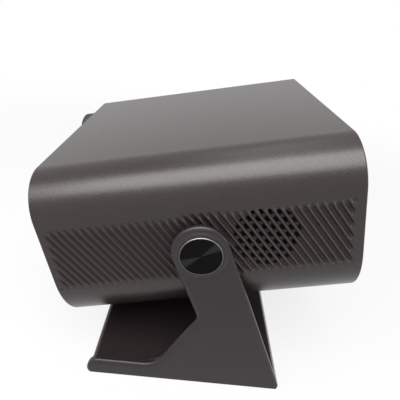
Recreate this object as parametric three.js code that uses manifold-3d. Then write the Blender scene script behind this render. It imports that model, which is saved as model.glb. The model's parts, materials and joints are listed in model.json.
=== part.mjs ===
// A portable projector on a U-shaped tilting stand.
// Millimetres and degrees. +Z is up, the lens looks towards -Y, and +X is the projector's left side.
// The stand stands still on the table; the projector hangs between its arms on one cross axis.
import * as THREE from 'three';
import { mergeVertices } from 'three/addons/utils/BufferGeometryUtils.js';
import Module from 'manifold-3d';

const wasm = await Module();
wasm.setup();

// Fits and facet counts shared by all pieces
const gap = 0.3; // air between two pieces that seat on each other
const overrun = 6; // how far a cutting tool runs past the face it cuts
const arcStep = { fine: 11.25, coarse: 22.5, chamfer: 45, flat: 90 }; // degrees of arc per facet on outlines
const facets = { large: 32, medium: 24, small: 16, tiny: 8, groove: 4 }; // facets round a turned piece

// Housing, measured from the tilt axis, which lies halfway along its depth
const body = {
  width: 215, depth: 185, abovePivot: 52, belowPivot: 58, topFillet: 25.5, bottomFillet: 43,
  wall: 2.8, restTilt: 14.1,
};
// Ridged panel in each side of the housing
const panel = {
  top: 21.8, bottom: 17.8, frontMargin: 2.5, backMargin: 6.5, depth: 1.3,
  ridgeAngle: 60, ridgePitch: 4, ridgeFoot: 1.8, ridgeCrest: 0.9, padRadius: 14,
};
// Speaker patch: slots at the bottom of the grooves, staggered by half their spacing
const patch = {
  radius: 19.5, behindPivot: 38.3, abovePivot: 3.4, slotLength: 4.5, slotWidth: 2, slotPitch: 6.2,
  thinning: 0.7, thinRadius: 18.2,
};
// Panels that close the two ends of the housing
const endPanel = { recess: 1.5, thickness: 3 };
const cornerPost = { radius: 4, length: 26, inset: 3, hole: 1.5 };
const rearScrew = { headRadius: 3, headHeight: 1.8, shankRadius: 1.2, length: 15 };

// Stand, a base tray with an arm at each end; heights are above the table
const stand = {
  pivotHeight: 103, front: 64.3, baseHeight: 12, noseRadius: 8.8, lean: 24.7, headRadius: 17.3,
  kneeDrop: 48.6, kneeRadius: 6, braceAngle: 60.6, braceRadius: 14, sideGap: 1.4, armThickness: 5.6,
  edgeRound: 1.6, toeRadius: 2.4, heelRadius: 1.8, skin: 2.6, rim: 0.8, rimWall: 3, rootRadius: 5,
};
const collar = { baseRadius: 15.8, topRadius: 13.4, height: 0.8 };
const cover = { recess: 0.7, thickness: 1.8 };
const ballast = { thickness: 2, margin: 1.5 };
const boss = { radius: 4, inset: 13 };
const baseScrew = { headRadius: 3, headHeight: 0.9, shankRadius: 1.3, length: 6.5 };
const foot = { length: 26, width: 9, thickness: 1.2, cornerRadius: 4, inset: 9 };

// Tilt joint
const bolt = { radius: 4.7, headRadius: 9.6, headHeight: 1.8, reach: 11 };
const bush = { wall: 2, flange: 2.2, flangeHeight: 0.7 };
const washer = { radius: 12.5 };
const cap = { radius: 12.6, thickness: 1.3, chamfer: 0.7, proud: 0.5, face: 0.25 };
const pivotPlate = { side: 34, thickness: 2, bossRadius: 9, bossDepth: 8, cornerRadius: 5 };

// Lens, off centre towards the projector's right
const lens = { fromSide: 8.5, fromTop: 5.5, protrusion: 16.6 };
const ring = {
  radius: 30, flutes: 24, fluteDepth: 0.7, lip: 2.2, lipRadius: 24.2, innerRadius: 25.9, chamfer: 1.2,
};
const tube = { radius: 25.5, wall: 2.8, setBack: 3.2, back: 42, flangeRadius: 31, flangeThickness: 3 };
const cell = { wall: 2, setBack: 3, length: 40, lip: 1.4, lipDepth: 1.6, play: 0.3 };
const glass = { front: { edge: 3, bulge: 3.4 }, rear: { edge: 3, bulge: 2.4, fromBack: 3 } };

// Inside the housing
const chassis = { halfWidth: 60, frontMargin: 12, backMargin: 14, thickness: 2, postRadius: 3.2 };
const engine = {
  width: 70, height: 66, depth: 65, fromCentre: 57, bottomDrop: 24.5, mouthRadius: 17, mouthDepth: 24,
};
const ledBoard = { side: 40, thickness: 1.8 };
const sink = { width: 50, height: 56, base: 5, depth: 32, fins: 9, finThickness: 1.4 };
const fan = {
  side: 60, fromSide: 20.5, depth: 15, boreRadius: 28.2, hubRadius: 11, hubDepth: 9, motorRadius: 8,
  strutWidth: 3, strutDepth: 2.4, blades: 7, bladeThickness: 1.5, bladePitch: 38, tipGap: 0.8,
  cornerRadius: 4, screwRadius: 2,
};
const speaker = {
  radius: 20.5, rim: 2, coneDepth: 6, coneRadius: 8, basketDepth: 11, magnetRadius: 12, magnetDepth: 8,
};
const board = { left: 88, right: 12, thickness: 1.6, drop: 32, postInset: 6 };
const mainBoard = { depth: 66, backGap: 8 };
const powerBoard = { depth: 66, between: 6 };
const transformer = { width: 30, depth: 26, height: 24, fromLeft: 34 };
const chipSink = { side: 34, base: 2.5, height: 12, fins: 7, finThickness: 1.3, fromLeft: 50 };

// Sockets on the back, along the main board's edge
const sockets = {
  hdmi: { fromCentre: 12, width: 14.2, height: 5, wall: 0.8, depth: 13, tongue: 1.4 },
  usb: { fromCentre: 33, width: 12.8, height: 5.6, wall: 0.8, depth: 14, tongue: 1.6 },
  audio: { fromCentre: 52, side: 7.4, bore: 1.8, depth: 13 },
};
const inlet = {
  fromCentre: 70, abovePivot: 14, width: 15.4, height: 8.8, wall: 1.8, depth: 14, cavity: 11,
  pinRadius: 1.2, pinSpacing: 8.6, pinSetBack: 2, flange: 2.2, flangeThickness: 1,
};
const button = {
  fromCentre: 76, drop: 14, radius: 6.5, proud: 1.4, travel: 1, stemRadius: 4.4,
  flange: 1.2, flangeHeight: 1.2,
};
const switchBlock = { width: 8, depth: 7 };
const exhaust = { width: 50, slots: 9, slotHeight: 3, pitch: 5.6 };
const irWindow = { fromCentre: 22, abovePivot: 6, radius: 5, thickness: 2.4, lip: 1 };

// Materials
function finish(color, roughness, metalness = 0) {
  return new THREE.MeshStandardMaterial({ color, roughness, metalness });
}
const darkShell = finish('#4a4645', 0.5);
const darkStand = finish('#474342', 0.5);
const blackPlastic = finish('#1c1c1e', 0.45);
const blackGlass = finish('#101214', 0.1);
const opticGlass = finish('#39424c', 0.05);
const spunMetal = finish('#1d1d1e', 0.3, 0.9);
const steel = finish('#8d9094', 0.35, 1);
const castAluminium = finish('#a4a7aa', 0.5, 0.9);
const copper = finish('#b0764e', 0.4, 1);
const greenBoard = finish('#1f4a33', 0.6);
const rubber = finish('#18181a', 0.9);
const nylon = finish('#d9d6cc', 0.6);
const speakerPaper = finish('#232325', 0.85);

const radians = (degrees) => (degrees * Math.PI) / 180;

// Solids: three.js geometry in, joined or cut, three.js geometry out
function solid(geometry) {
  const bare = geometry.clone();
  bare.deleteAttribute('normal');
  bare.deleteAttribute('uv');
  const merged = mergeVertices(bare);
  return new wasm.Manifold(new wasm.Mesh({
    numProp: 3,
    vertProperties: new Float32Array(merged.attributes.position.array),
    triVerts: new Uint32Array(merged.index.array),
  }));
}

function geometryOf(shape) {
  const mesh = shape.getMesh();
  const geometry = new THREE.BufferGeometry();
  geometry.setAttribute('position', new THREE.BufferAttribute(new Float32Array(mesh.vertProperties), 3));
  geometry.setIndex(new THREE.BufferAttribute(new Uint32Array(mesh.triVerts), 1));
  geometry.computeVertexNormals();
  return geometry;
}

const join = (first, ...rest) => rest.reduce((sum, next) => sum.add(next), first);
const cut = (first, ...tools) => tools.reduce((left, tool) => left.subtract(tool), first);

// Outlines: corners are [a, b, radius], and arcs get a facet every `step` degrees
function outline(corners, step = arcStep.coarse) {
  const points = [];
  const place = (corner) => new THREE.Vector2(corner[0], corner[1]);
  corners.forEach((corner, index) => {
    const here = place(corner);
    const radius = corner[2] ?? 0;
    if (radius === 0) {
      points.push(here);
      return;
    }
    const before = place(corners.at(index - 1)).sub(here).normalize();
    const after = place(corners[(index + 1) % corners.length]).sub(here).normalize();
    const half = Math.acos(before.dot(after)) / 2;
    const bisector = before.clone().add(after).normalize();
    const centre = here.clone().addScaledVector(bisector, radius / Math.sin(half));
    const start = here.clone().addScaledVector(before, radius / Math.tan(half)).sub(centre);
    const sweep = (before.cross(after) < 0 ? 1 : -1) * (Math.PI - 2 * half);
    const steps = Math.max(1, Math.round(Math.abs(sweep) / radians(step)));
    for (let k = 0; k <= steps; k += 1) {
      points.push(start.clone().rotateAround(new THREE.Vector2(), (sweep * k) / steps).add(centre));
    }
  });
  return new THREE.Shape(points);
}

function rectangle(width, height, radius = 0, step = arcStep.coarse) {
  const [a, b] = [width / 2, height / 2];
  return outline([[a, -b, radius], [a, b, radius], [-a, b, radius], [-a, -b, radius]], step);
}

// An outline drawn in X-Z and given depth along Y, from `front` to `back`
function alongY(shape, front, back, x = 0, z = 0) {
  const geometry = new THREE.ExtrudeGeometry(shape, { depth: back - front, bevelEnabled: false });
  return solid(geometry.rotateX(Math.PI / 2).translate(x, back, z));
}

// An outline drawn in Y-Z and given thickness along X, with rounded edges where `round` is given
function alongX(shape, from, to, round = 0) {
  const geometry = new THREE.ExtrudeGeometry(shape, {
    depth: to - from - 2 * round, bevelEnabled: round > 0, bevelSize: round, bevelThickness: round,
    bevelOffset: -round, bevelSegments: 1,
  });
  const [y, z, x] = [new THREE.Vector3(0, 1, 0), new THREE.Vector3(0, 0, 1), new THREE.Vector3(1, 0, 0)];
  return solid(geometry.applyMatrix4(new THREE.Matrix4().makeBasis(y, z, x)).translate(from + round, 0, 0));
}

// An outline drawn in X-Y and given height along Z
function alongZ(shape, bottom, top, x = 0, y = 0) {
  const geometry = new THREE.ExtrudeGeometry(shape, { depth: top - bottom, bevelEnabled: false });
  return solid(geometry.translate(x, y, bottom));
}

function block([x0, x1], [y0, y1], [z0, z1]) {
  const geometry = new THREE.BoxGeometry(x1 - x0, y1 - y0, z1 - z0);
  return solid(geometry.translate((x0 + x1) / 2, (y0 + y1) / 2, (z0 + z1) / 2));
}

// A turned piece: profile points are [radius, distance along the axis]
function turned(profile, sides = facets.medium) {
  return solid(new THREE.LatheGeometry(profile.map(([r, a]) => new THREE.Vector2(r, a)), sides));
}
const facing = {
  y: (shape, x = 0, z = 0) => shape.translate([x, 0, z]),
  x: (shape, y = 0, z = 0) => shape.rotate([0, 0, -90]).translate([0, y, z]),
  z: (shape, x = 0, y = 0) => shape.rotate([90, 0, 0]).translate([x, y, 0]),
};
const rod = (radius, from, to, sides = facets.small) => turned(
  [[0, from], [radius, from], [radius, to], [0, to]], sides);
const pipe = (outer, inner, from, to, sides = facets.medium) => turned(
  [[inner, from], [outer, from], [outer, to], [inner, to], [inner, from]], sides);

// The assembly: the part stands on z = 0, and the projector turns about the tilt axis
const part = new THREE.Group();
const standGroup = new THREE.Group();
const tiltGroup = new THREE.Group();
tiltGroup.position.z = stand.pivotHeight;
tiltGroup.rotation.x = radians(body.restTilt);
part.add(standGroup, tiltGroup);

function place(group, name, shape, material) {
  const mesh = new THREE.Mesh(geometryOf(shape), material);
  mesh.name = name;
  group.add(mesh);
}
const sides = [['left', 1], ['right', -1]];
const mirrored = (shape, sign) => (sign > 0 ? shape : shape.mirror([1, 0, 0]));

// Places that several pieces share
const halfWidth = body.width / 2;
const frontY = -body.depth / 2;
const backY = body.depth / 2;
const innerSide = halfWidth - body.wall;
const armInner = halfWidth + stand.sideGap;
const armOuter = armInner + stand.armThickness;
const lensX = -(halfWidth - lens.fromSide - ring.radius);
const lensZ = body.abovePivot - lens.fromTop - ring.radius;
const rearFace = backY - endPanel.recess;
const rearInner = rearFace - endPanel.thickness;
const frontFace = frontY + endPanel.recess;
const floorZ = -body.belowPivot + body.wall;
const boardTop = -board.drop + board.thickness;
const engineMid = -engine.fromCentre;
const fanX = -(halfWidth - fan.fromSide - fan.side / 2);
const fanZ = -engine.bottomDrop + engine.height / 2;

// Housing sleeve: one moulded tube with a ridged panel and a speaker patch in each side
function housingOutline(inset) {
  const half = halfWidth - inset;
  const top = body.abovePivot - inset;
  const bottom = -body.belowPivot + inset;
  const [r, s] = [body.topFillet - inset, body.bottomFillet - inset];
  return outline([[half, bottom, s], [half, top, r], [-half, top, r], [-half, bottom, s]], arcStep.fine);
}

const ridge = { along: new THREE.Vector2(), across: new THREE.Vector2() };
ridge.along.set(Math.cos(radians(panel.ridgeAngle)), -Math.sin(radians(panel.ridgeAngle)));
ridge.across.set(Math.sin(radians(panel.ridgeAngle)), Math.cos(radians(panel.ridgeAngle)));

// Moves a piece drawn upright at the patch's centre to a place along and across the ridges
function onRidges(shape, along, across) {
  const y = patch.behindPivot + ridge.along.x * along + ridge.across.x * across;
  const z = patch.abovePivot + ridge.along.y * along + ridge.across.y * across;
  return shape.rotate([90 - panel.ridgeAngle, 0, 0]).translate([0, y, z]);
}

function panelBox(depth) {
  return block([halfWidth - depth, halfWidth + overrun],
    [frontY + panel.frontMargin, backY - panel.backMargin], [-panel.bottom, panel.top]);
}

function ridges() {
  const reach = body.depth;
  const profile = [
    [panel.ridgeFoot / 2, -panel.depth - gap], [panel.ridgeFoot / 2, -panel.depth],
    [panel.ridgeCrest / 2, 0], [-panel.ridgeCrest / 2, 0],
    [-panel.ridgeFoot / 2, -panel.depth], [-panel.ridgeFoot / 2, -panel.depth - gap],
  ];
  const shape = new THREE.Shape(profile.map(([across, out]) => new THREE.Vector2(across, out)));
  const basis = new THREE.Matrix4().makeBasis(
    new THREE.Vector3(0, 1, 0), new THREE.Vector3(1, 0, 0), new THREE.Vector3(0, 0, -1));
  const bar = new THREE.ExtrudeGeometry(shape, { depth: 2 * reach, bevelEnabled: false });
  const upright = solid(bar.applyMatrix4(basis).translate(halfWidth, 0, reach));
  const first = -Math.floor((patch.behindPivot + backY + panel.top) / panel.ridgePitch);
  const last = Math.ceil((backY + panel.bottom) / panel.ridgePitch);
  const bars = [];
  for (let k = first; k <= last; k += 1) {
    bars.push(onRidges(upright, 0, k * panel.ridgePitch));
  }
  return wasm.Manifold.union(bars).intersect(panelBox(panel.depth + gap));
}

function speakerSlots() {
  const [long, wide] = [patch.slotLength / 2, patch.slotWidth / 2];
  const shoulder = long - wide;
  const shape = new THREE.Shape([
    [wide, -shoulder], [wide, shoulder], [0, long], [-wide, shoulder], [-wide, -shoulder], [0, -long],
  ].map(([a, b]) => new THREE.Vector2(a, b)));
  const slot = alongX(shape, innerSide - overrun, halfWidth + overrun);
  const rows = Math.ceil(patch.radius / patch.slotPitch) + 1;
  const grooves = Math.ceil(patch.radius / panel.ridgePitch);
  const slots = [];
  for (let groove = -grooves; groove < grooves; groove += 1) {
    const stagger = (Math.abs(groove) % 2) / 2;
    for (let row = -rows; row <= rows; row += 1) {
      slots.push(onRidges(slot, (row + stagger) * patch.slotPitch, (groove + 0.5) * panel.ridgePitch));
    }
  }
  const round = rod(patch.radius, innerSide - overrun, halfWidth + overrun, facets.medium);
  return wasm.Manifold.union(slots).intersect(facing.x(round, patch.behindPivot, patch.abovePivot));
}

// Centres of the four screw posts, in the curve of each corner
const postPlaces = sides.flatMap(([, sign]) => {
  const top = body.topFillet - body.wall - cornerPost.inset;
  const bottom = body.bottomFillet - body.wall - cornerPost.inset;
  const topCentre = [halfWidth - body.topFillet, body.abovePivot - body.topFillet];
  const bottomCentre = [halfWidth - body.bottomFillet, -body.belowPivot + body.bottomFillet];
  return [
    [sign * (topCentre[0] + top * Math.SQRT1_2), topCentre[1] + top * Math.SQRT1_2],
    [sign * (bottomCentre[0] + bottom * Math.SQRT1_2), bottomCentre[1] - bottom * Math.SQRT1_2],
  ];
});

function housingSleeve() {
  const hollow = alongY(housingOutline(body.wall), frontY - overrun, backY + overrun);
  const posts = postPlaces.map(([x, z]) => {
    const post = rod(cornerPost.radius, rearInner - gap - cornerPost.length, rearInner - gap, facets.tiny);
    const hole = rod(cornerPost.hole, rearInner - cornerPost.length, rearInner + overrun, facets.tiny);
    return facing.y(cut(post, hole), x, z);
  });
  const outer = alongY(housingOutline(0), frontY, backY);
  const kept = alongY(housingOutline(body.wall / 2), frontY, backY);
  let sleeve = join(cut(outer, hollow), ...posts.map((post) => post.intersect(kept)));
  const pad = facing.x(rod(panel.padRadius, innerSide, halfWidth, facets.medium));
  const shaftHole = facing.x(rod(bolt.radius + gap, innerSide - overrun, halfWidth + overrun));
  const side = join(ridges(), pad);
  const thinned = rod(patch.thinRadius, innerSide - overrun, innerSide + patch.thinning, facets.medium);
  const slots = join(speakerSlots(), facing.x(thinned, patch.behindPivot, patch.abovePivot));
  sides.forEach(([, sign]) => {
    sleeve = cut(sleeve, mirrored(panelBox(panel.depth), sign));
    sleeve = join(sleeve, mirrored(side, sign));
    sleeve = cut(sleeve, mirrored(slots, sign), mirrored(shaftHole, sign));
  });
  return sleeve;
}
place(tiltGroup, 'housing_sleeve', housingSleeve(), darkShell);

// Front panel, with the lens opening and the window of the remote control's receiver
const irPlace = [irWindow.fromCentre, irWindow.abovePivot];
const frontPlate = cut(
  alongY(housingOutline(body.wall + gap), frontFace, frontFace + endPanel.thickness),
  facing.y(rod(tube.radius + gap, frontY - overrun, frontY + overrun * 2, facets.large), lensX, lensZ),
  facing.y(rod(irWindow.radius + gap, frontY - overrun, frontFace + irWindow.lip), ...irPlace),
  facing.y(rod(irWindow.radius - irWindow.lip, frontY - overrun, frontY + overrun * 2), ...irPlace),
);
place(tiltGroup, 'front_panel', frontPlate, blackPlastic);
const windowBack = frontFace + irWindow.lip - gap;
place(tiltGroup, 'ir_window', facing.y(join(
  rod(irWindow.radius, frontFace - gap, windowBack),
  rod(irWindow.radius - irWindow.lip - gap, frontFace, frontFace + irWindow.thickness),
), ...irPlace), blackGlass);

// Rear panel: exhaust slots before the fan, socket openings, the inlet's opening and the button's bore
const socketZ = (socket) => boardTop + gap + socket.wall + socket.height / 2;
function socketHole(x, z, width, height) {
  return alongY(rectangle(width + 2 * gap, height + 2 * gap), rearInner - overrun, rearFace + overrun, x, z);
}

function rearPanel() {
  const tools = [];
  for (let k = 0; k < exhaust.slots; k += 1) {
    const z = fanZ + (k - (exhaust.slots - 1) / 2) * exhaust.pitch;
    const shape = rectangle(exhaust.width, exhaust.slotHeight, exhaust.slotHeight / 3, arcStep.flat);
    tools.push(alongY(shape, rearInner - overrun, rearFace + overrun, fanX, z));
  }
  [sockets.hdmi, sockets.usb].forEach((socket) => {
    const [width, height] = [socket.width + 2 * socket.wall, socket.height + 2 * socket.wall];
    tools.push(socketHole(socket.fromCentre, socketZ(socket), width, height));
  });
  const { audio } = sockets;
  tools.push(socketHole(audio.fromCentre, boardTop + gap + audio.side / 2, audio.side, audio.side));
  const inletWidth = inlet.width + 2 * inlet.wall;
  const inletHeight = inlet.height + 2 * inlet.wall;
  tools.push(socketHole(inlet.fromCentre, inlet.abovePivot, inletWidth, inletHeight));
  const buttonBore = rod(button.radius + gap, rearInner - overrun, rearFace + overrun);
  tools.push(facing.y(buttonBore, button.fromCentre, -button.drop));
  const screwHole = join(
    rod(rearScrew.shankRadius + gap, rearInner - overrun, rearFace, facets.tiny),
    rod(rearScrew.headRadius + gap, rearFace - rearScrew.headHeight, rearFace + overrun, facets.tiny),
  );
  postPlaces.forEach(([x, z]) => {
    tools.push(facing.y(screwHole, x, z));
  });
  return cut(alongY(housingOutline(body.wall + gap), rearInner, rearFace), ...tools);
}
place(tiltGroup, 'rear_panel', rearPanel(), blackPlastic);

const rearScrewSeat = rearFace - rearScrew.headHeight + gap;
const rearScrewShape = turned([
  [0, rearFace - rearScrew.length], [rearScrew.shankRadius, rearFace - rearScrew.length],
  [rearScrew.shankRadius, rearScrewSeat], [rearScrew.headRadius, rearScrewSeat],
  [rearScrew.headRadius, rearFace], [0, rearFace],
], facets.tiny);
postPlaces.forEach(([x, z], index) => {
  place(tiltGroup, `rear_screw_${index + 1}`, facing.y(rearScrewShape, x, z), steel);
});

// Lens: a fixed tube, a knurled focus ring round it, and a cell with two glasses that slides inside it
const ringFront = frontY - lens.protrusion;
const tubeFront = ringFront + tube.setBack;
const engineFront = frontY + tube.back + tube.flangeThickness;
const tubeInner = tube.radius - tube.wall;
function onLensAxis(shape) {
  return facing.y(shape, lensX, lensZ);
}

place(tiltGroup, 'lens_tube', onLensAxis(turned([
  [tubeInner, tubeFront], [tube.radius, tubeFront], [tube.radius, engineFront - tube.flangeThickness],
  [tube.flangeRadius, engineFront - tube.flangeThickness], [tube.flangeRadius, engineFront],
  [tubeInner, engineFront], [tubeInner, tubeFront],
], facets.large)), blackPlastic);

function focusRing() {
  const ringBack = frontFace - gap;
  const turnedRing = turned([
    [ring.lipRadius, ringFront], [ring.radius - ring.chamfer, ringFront],
    [ring.radius, ringFront + ring.chamfer], [ring.radius, ringBack],
    [ring.innerRadius, ringBack], [ring.innerRadius, ringFront + ring.lip],
    [ring.lipRadius, ringFront + ring.lip], [ring.lipRadius, ringFront],
  ], facets.large);
  const flutes = [];
  for (let k = 0; k < ring.flutes; k += 1) {
    const angle = (2 * Math.PI * (k + 0.5)) / ring.flutes;
    const from = ringFront + 2 * ring.chamfer;
    const groove = rod(2 * ring.fluteDepth, from, ringBack - ring.chamfer, facets.groove);
    const reach = ring.radius + ring.fluteDepth;
    flutes.push(facing.y(groove, reach * Math.cos(angle), reach * Math.sin(angle)));
  }
  return onLensAxis(cut(turnedRing, wasm.Manifold.union(flutes)));
}
place(tiltGroup, 'focus_ring', focusRing(), blackPlastic);

const cellRadius = tubeInner - cell.play;
const cellInner = cellRadius - cell.wall;
const cellFront = tubeFront + cell.setBack;
const cellBack = cellFront + cell.length;
const cellStop = cellFront + cell.lipDepth;
place(tiltGroup, 'lens_cell', onLensAxis(turned([
  [cellInner - cell.lip, cellFront], [cellRadius, cellFront], [cellRadius, cellBack],
  [cellInner, cellBack], [cellInner, cellStop], [cellInner - cell.lip, cellStop],
  [cellInner - cell.lip, cellFront],
])), blackPlastic);

// A lens element: flat rim, one bulging face
function element(front, edge, bulge, forward) {
  const radius = cellInner - gap;
  const clear = radius - cell.lip - gap;
  const sphere = (clear * clear + bulge * bulge) / (2 * bulge);
  const steps = 4;
  const curve = Array.from({ length: steps + 1 }, (unused, k) => {
    const r = (clear * k) / steps;
    return [r, front - (Math.sqrt(sphere * sphere - r * r) - (sphere - bulge))];
  });
  const shape = turned([...curve, [radius, front], [radius, front + edge], [0, front + edge]]);
  return forward ? shape : shape.translate([0, -front, 0]).mirror([0, 1, 0]).translate([0, front, 0]);
}
const frontGlassAt = cellStop + gap;
const frontElement = element(frontGlassAt, glass.front.edge, glass.front.bulge, true);
place(tiltGroup, 'front_lens', onLensAxis(frontElement), opticGlass);
const rearGlassAt = cellBack - glass.rear.fromBack - glass.rear.bulge;
const rearElement = element(rearGlassAt, glass.rear.edge, glass.rear.bulge, false);
place(tiltGroup, 'rear_lens', onLensAxis(rearElement), opticGlass);

// Optical engine with the lamp board, heat sink and fan in line behind it
const engineStart = engineFront + gap;
const engineEnd = engineStart + engine.depth;
const engineX = [engineMid - engine.width / 2, engineMid + engine.width / 2];
const engineZ = [-engine.bottomDrop, -engine.bottomDrop + engine.height];
place(tiltGroup, 'optical_engine', cut(
  block(engineX, [engineStart, engineEnd], engineZ),
  onLensAxis(rod(engine.mouthRadius, engineStart - overrun, engineStart + engine.mouthDepth)),
), castAluminium);

const ledFront = engineEnd + gap;
const sinkFront = ledFront + ledBoard.thickness + gap;
place(tiltGroup, 'light_source_board', alongY(rectangle(ledBoard.side, ledBoard.side),
  ledFront, ledFront + ledBoard.thickness, engineMid, fanZ), copper);

function finned(width, base, length, fins, thickness) {
  const pieces = [block([-width / 2, width / 2], [0, length], [0, base.thickness])];
  for (let k = 0; k < fins; k += 1) {
    const x = -width / 2 + ((width - thickness) * k) / (fins - 1);
    pieces.push(block([x, x + thickness], [0, length], [0, base.height]));
  }
  return wasm.Manifold.union(pieces);
}
const sinkBase = { thickness: sink.base, height: sink.depth };
const sinkShape = finned(sink.width, sinkBase, sink.height, sink.fins, sink.finThickness);
place(tiltGroup, 'heat_sink', sinkShape.rotate([90, 0, 0]).mirror([0, 1, 0])
  .translate([engineMid, sinkFront, fanZ - sink.height / 2]), castAluminium);

const fanBack = rearInner - gap;
const fanFront = fanBack - fan.depth;
function fanFrame() {
  const shell = cut(
    alongY(rectangle(fan.side, fan.side, fan.cornerRadius, arcStep.chamfer), fanFront, fanBack, fanX, fanZ),
    facing.y(rod(fan.boreRadius, fanFront - overrun, fanBack + overrun, facets.medium), fanX, fanZ),
  );
  const reach = fan.boreRadius + gap;
  const spokes = [0, 1].map((k) => {
    const half = fan.strutWidth / 2;
    const bar = block([-reach, reach], [fanFront, fanFront + fan.strutDepth], [-half, half]);
    return bar.rotate([0, 45 + 90 * k, 0]).translate([fanX, 0, fanZ]);
  });
  const motor = facing.y(rod(fan.motorRadius, fanFront, fanFront + fan.hubDepth / 2), fanX, fanZ);
  const spindleEnd = fanFront + fan.strutDepth + fan.hubDepth / 2 + gap;
  const spindle = facing.y(rod(fan.screwRadius, fanFront, spindleEnd, facets.tiny), fanX, fanZ);
  const offset = fan.side / 2 - fan.cornerRadius;
  const holeShape = rod(fan.screwRadius, fanFront - overrun, fanBack + overrun, facets.tiny);
  const holes = [[1, 1], [1, -1], [-1, 1], [-1, -1]].map(
    ([i, j]) => facing.y(holeShape, fanX + i * offset, fanZ + j * offset));
  return cut(join(shell, ...spokes, motor, spindle), ...holes);
}
place(tiltGroup, 'fan_frame', fanFrame(), blackPlastic);

// The hub is a cup over the motor; its bore runs on the spindle
function fanRotor() {
  const hubFront = fanFront + fan.strutDepth + gap;
  const hubBack = hubFront + fan.hubDepth;
  const cupInner = fan.motorRadius + gap;
  const cupFloor = fanFront + fan.hubDepth / 2 + gap;
  const hub = turned([
    [fan.screwRadius + gap, cupFloor], [cupInner, cupFloor], [cupInner, hubFront], [fan.hubRadius, hubFront],
    [fan.hubRadius, hubBack], [0, hubBack], [0, hubBack - fan.screwRadius],
    [fan.screwRadius + gap, hubBack - fan.screwRadius], [fan.screwRadius + gap, cupFloor],
  ], facets.small);
  const tip = fan.boreRadius - fan.tipGap;
  const zone = pipe(tip, fan.hubRadius - gap, hubFront, hubBack);
  const blades = [];
  for (let k = 0; k < fan.blades; k += 1) {
    const half = fan.bladeThickness / 2;
    const blade = block([0, tip + overrun], [-fan.side, fan.side], [-half, half]);
    const pitched = blade.rotate([fan.bladePitch, 0, 0]).translate([0, (hubFront + hubBack) / 2, 0]);
    blades.push(pitched.rotate([0, (360 * k) / fan.blades, 0]));
  }
  return facing.y(join(hub, wasm.Manifold.union(blades).intersect(zone)), fanX, fanZ);
}
place(tiltGroup, 'fan_rotor', fanRotor(), blackPlastic);

// Speakers, one behind each patch
const magnetEnd = -speaker.basketDepth - speaker.magnetDepth;
const speakerProfile = [
  [0, magnetEnd], [speaker.magnetRadius, magnetEnd], [speaker.magnetRadius, -speaker.basketDepth],
  [speaker.radius, -speaker.rim], [speaker.radius, 0], [speaker.radius - speaker.rim, 0],
  [speaker.coneRadius, -speaker.coneDepth], [0, -speaker.coneDepth],
];
const speakerShape = facing.x(turned(speakerProfile).translate([0, innerSide - gap, 0]),
  patch.behindPivot, patch.abovePivot);
sides.forEach(([side, sign]) => {
  place(tiltGroup, `speaker_${side}`, mirrored(speakerShape, sign), speakerPaper);
});

// Boards on the posts of a chassis tray that lies on the housing's floor
const boardX = [-board.right, board.left];
const boardZ = [-board.drop, boardTop];
const mainY = [rearFace - mainBoard.backGap - mainBoard.depth, rearFace - mainBoard.backGap];
const powerY = [mainY[0] - powerBoard.between - powerBoard.depth, mainY[0] - powerBoard.between];
function boardAt(rangeY) {
  return block(boardX, rangeY, boardZ);
}

function mainBoardShape() {
  const x = button.fromCentre;
  const switchTop = -button.drop + switchBlock.width / 2;
  const switchCase = block([x - switchBlock.width / 2, x + switchBlock.width / 2],
    [mainY[1] - switchBlock.depth, mainY[1]], [boardTop - board.thickness / 2, switchTop]);
  return join(boardAt(mainY), switchCase);
}
place(tiltGroup, 'main_board', mainBoardShape(), greenBoard);
place(tiltGroup, 'power_board', boardAt(powerY), greenBoard);

function onBoard(rangeY, fromLeft, width, depth, height) {
  const x = board.left - fromLeft;
  const y = (rangeY[0] + rangeY[1]) / 2;
  const bottom = boardTop + gap;
  return block([x - width / 2, x + width / 2], [y - depth / 2, y + depth / 2], [bottom, bottom + height]);
}
place(tiltGroup, 'power_transformer',
  onBoard(powerY, transformer.fromLeft, transformer.width, transformer.depth, transformer.height), copper);
const chipSinkShape = finned(chipSink.side, { thickness: chipSink.base, height: chipSink.height },
  chipSink.side, chipSink.fins, chipSink.finThickness);
place(tiltGroup, 'processor_heat_sink', chipSinkShape.translate([board.left - chipSink.fromLeft,
  (mainY[0] + mainY[1]) / 2 - chipSink.side / 2, boardTop + gap]), castAluminium);

function chassisTray() {
  const bottom = floorZ + gap;
  const top = bottom + chassis.thickness;
  const rangeY = [frontFace + endPanel.thickness + chassis.frontMargin, rearInner - chassis.backMargin];
  const plate = block([-chassis.halfWidth, chassis.halfWidth], rangeY, [bottom, top]);
  const posts = [mainY, powerY].flatMap(([near, far]) => {
    const xs = [-board.right + board.postInset, chassis.halfWidth - board.postInset];
    const ys = [near + board.postInset, far - board.postInset];
    return xs.flatMap((x) => ys.map((y) => facing.z(
      rod(chassis.postRadius, bottom + chassis.thickness / 2, -board.drop - gap, facets.tiny), x, y)));
  });
  const legRange = [-chassis.halfWidth, engineMid + engine.width / 2 - chassis.thickness];
  const legs = [engineStart + chassis.thickness, engineEnd - 2 * chassis.thickness].map((y) => block(
    legRange, [y, y + chassis.thickness], [bottom + chassis.thickness / 2, -engine.bottomDrop - gap]));
  return join(plate, ...posts, ...legs);
}
place(tiltGroup, 'chassis_tray', chassisTray(), steel);

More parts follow.
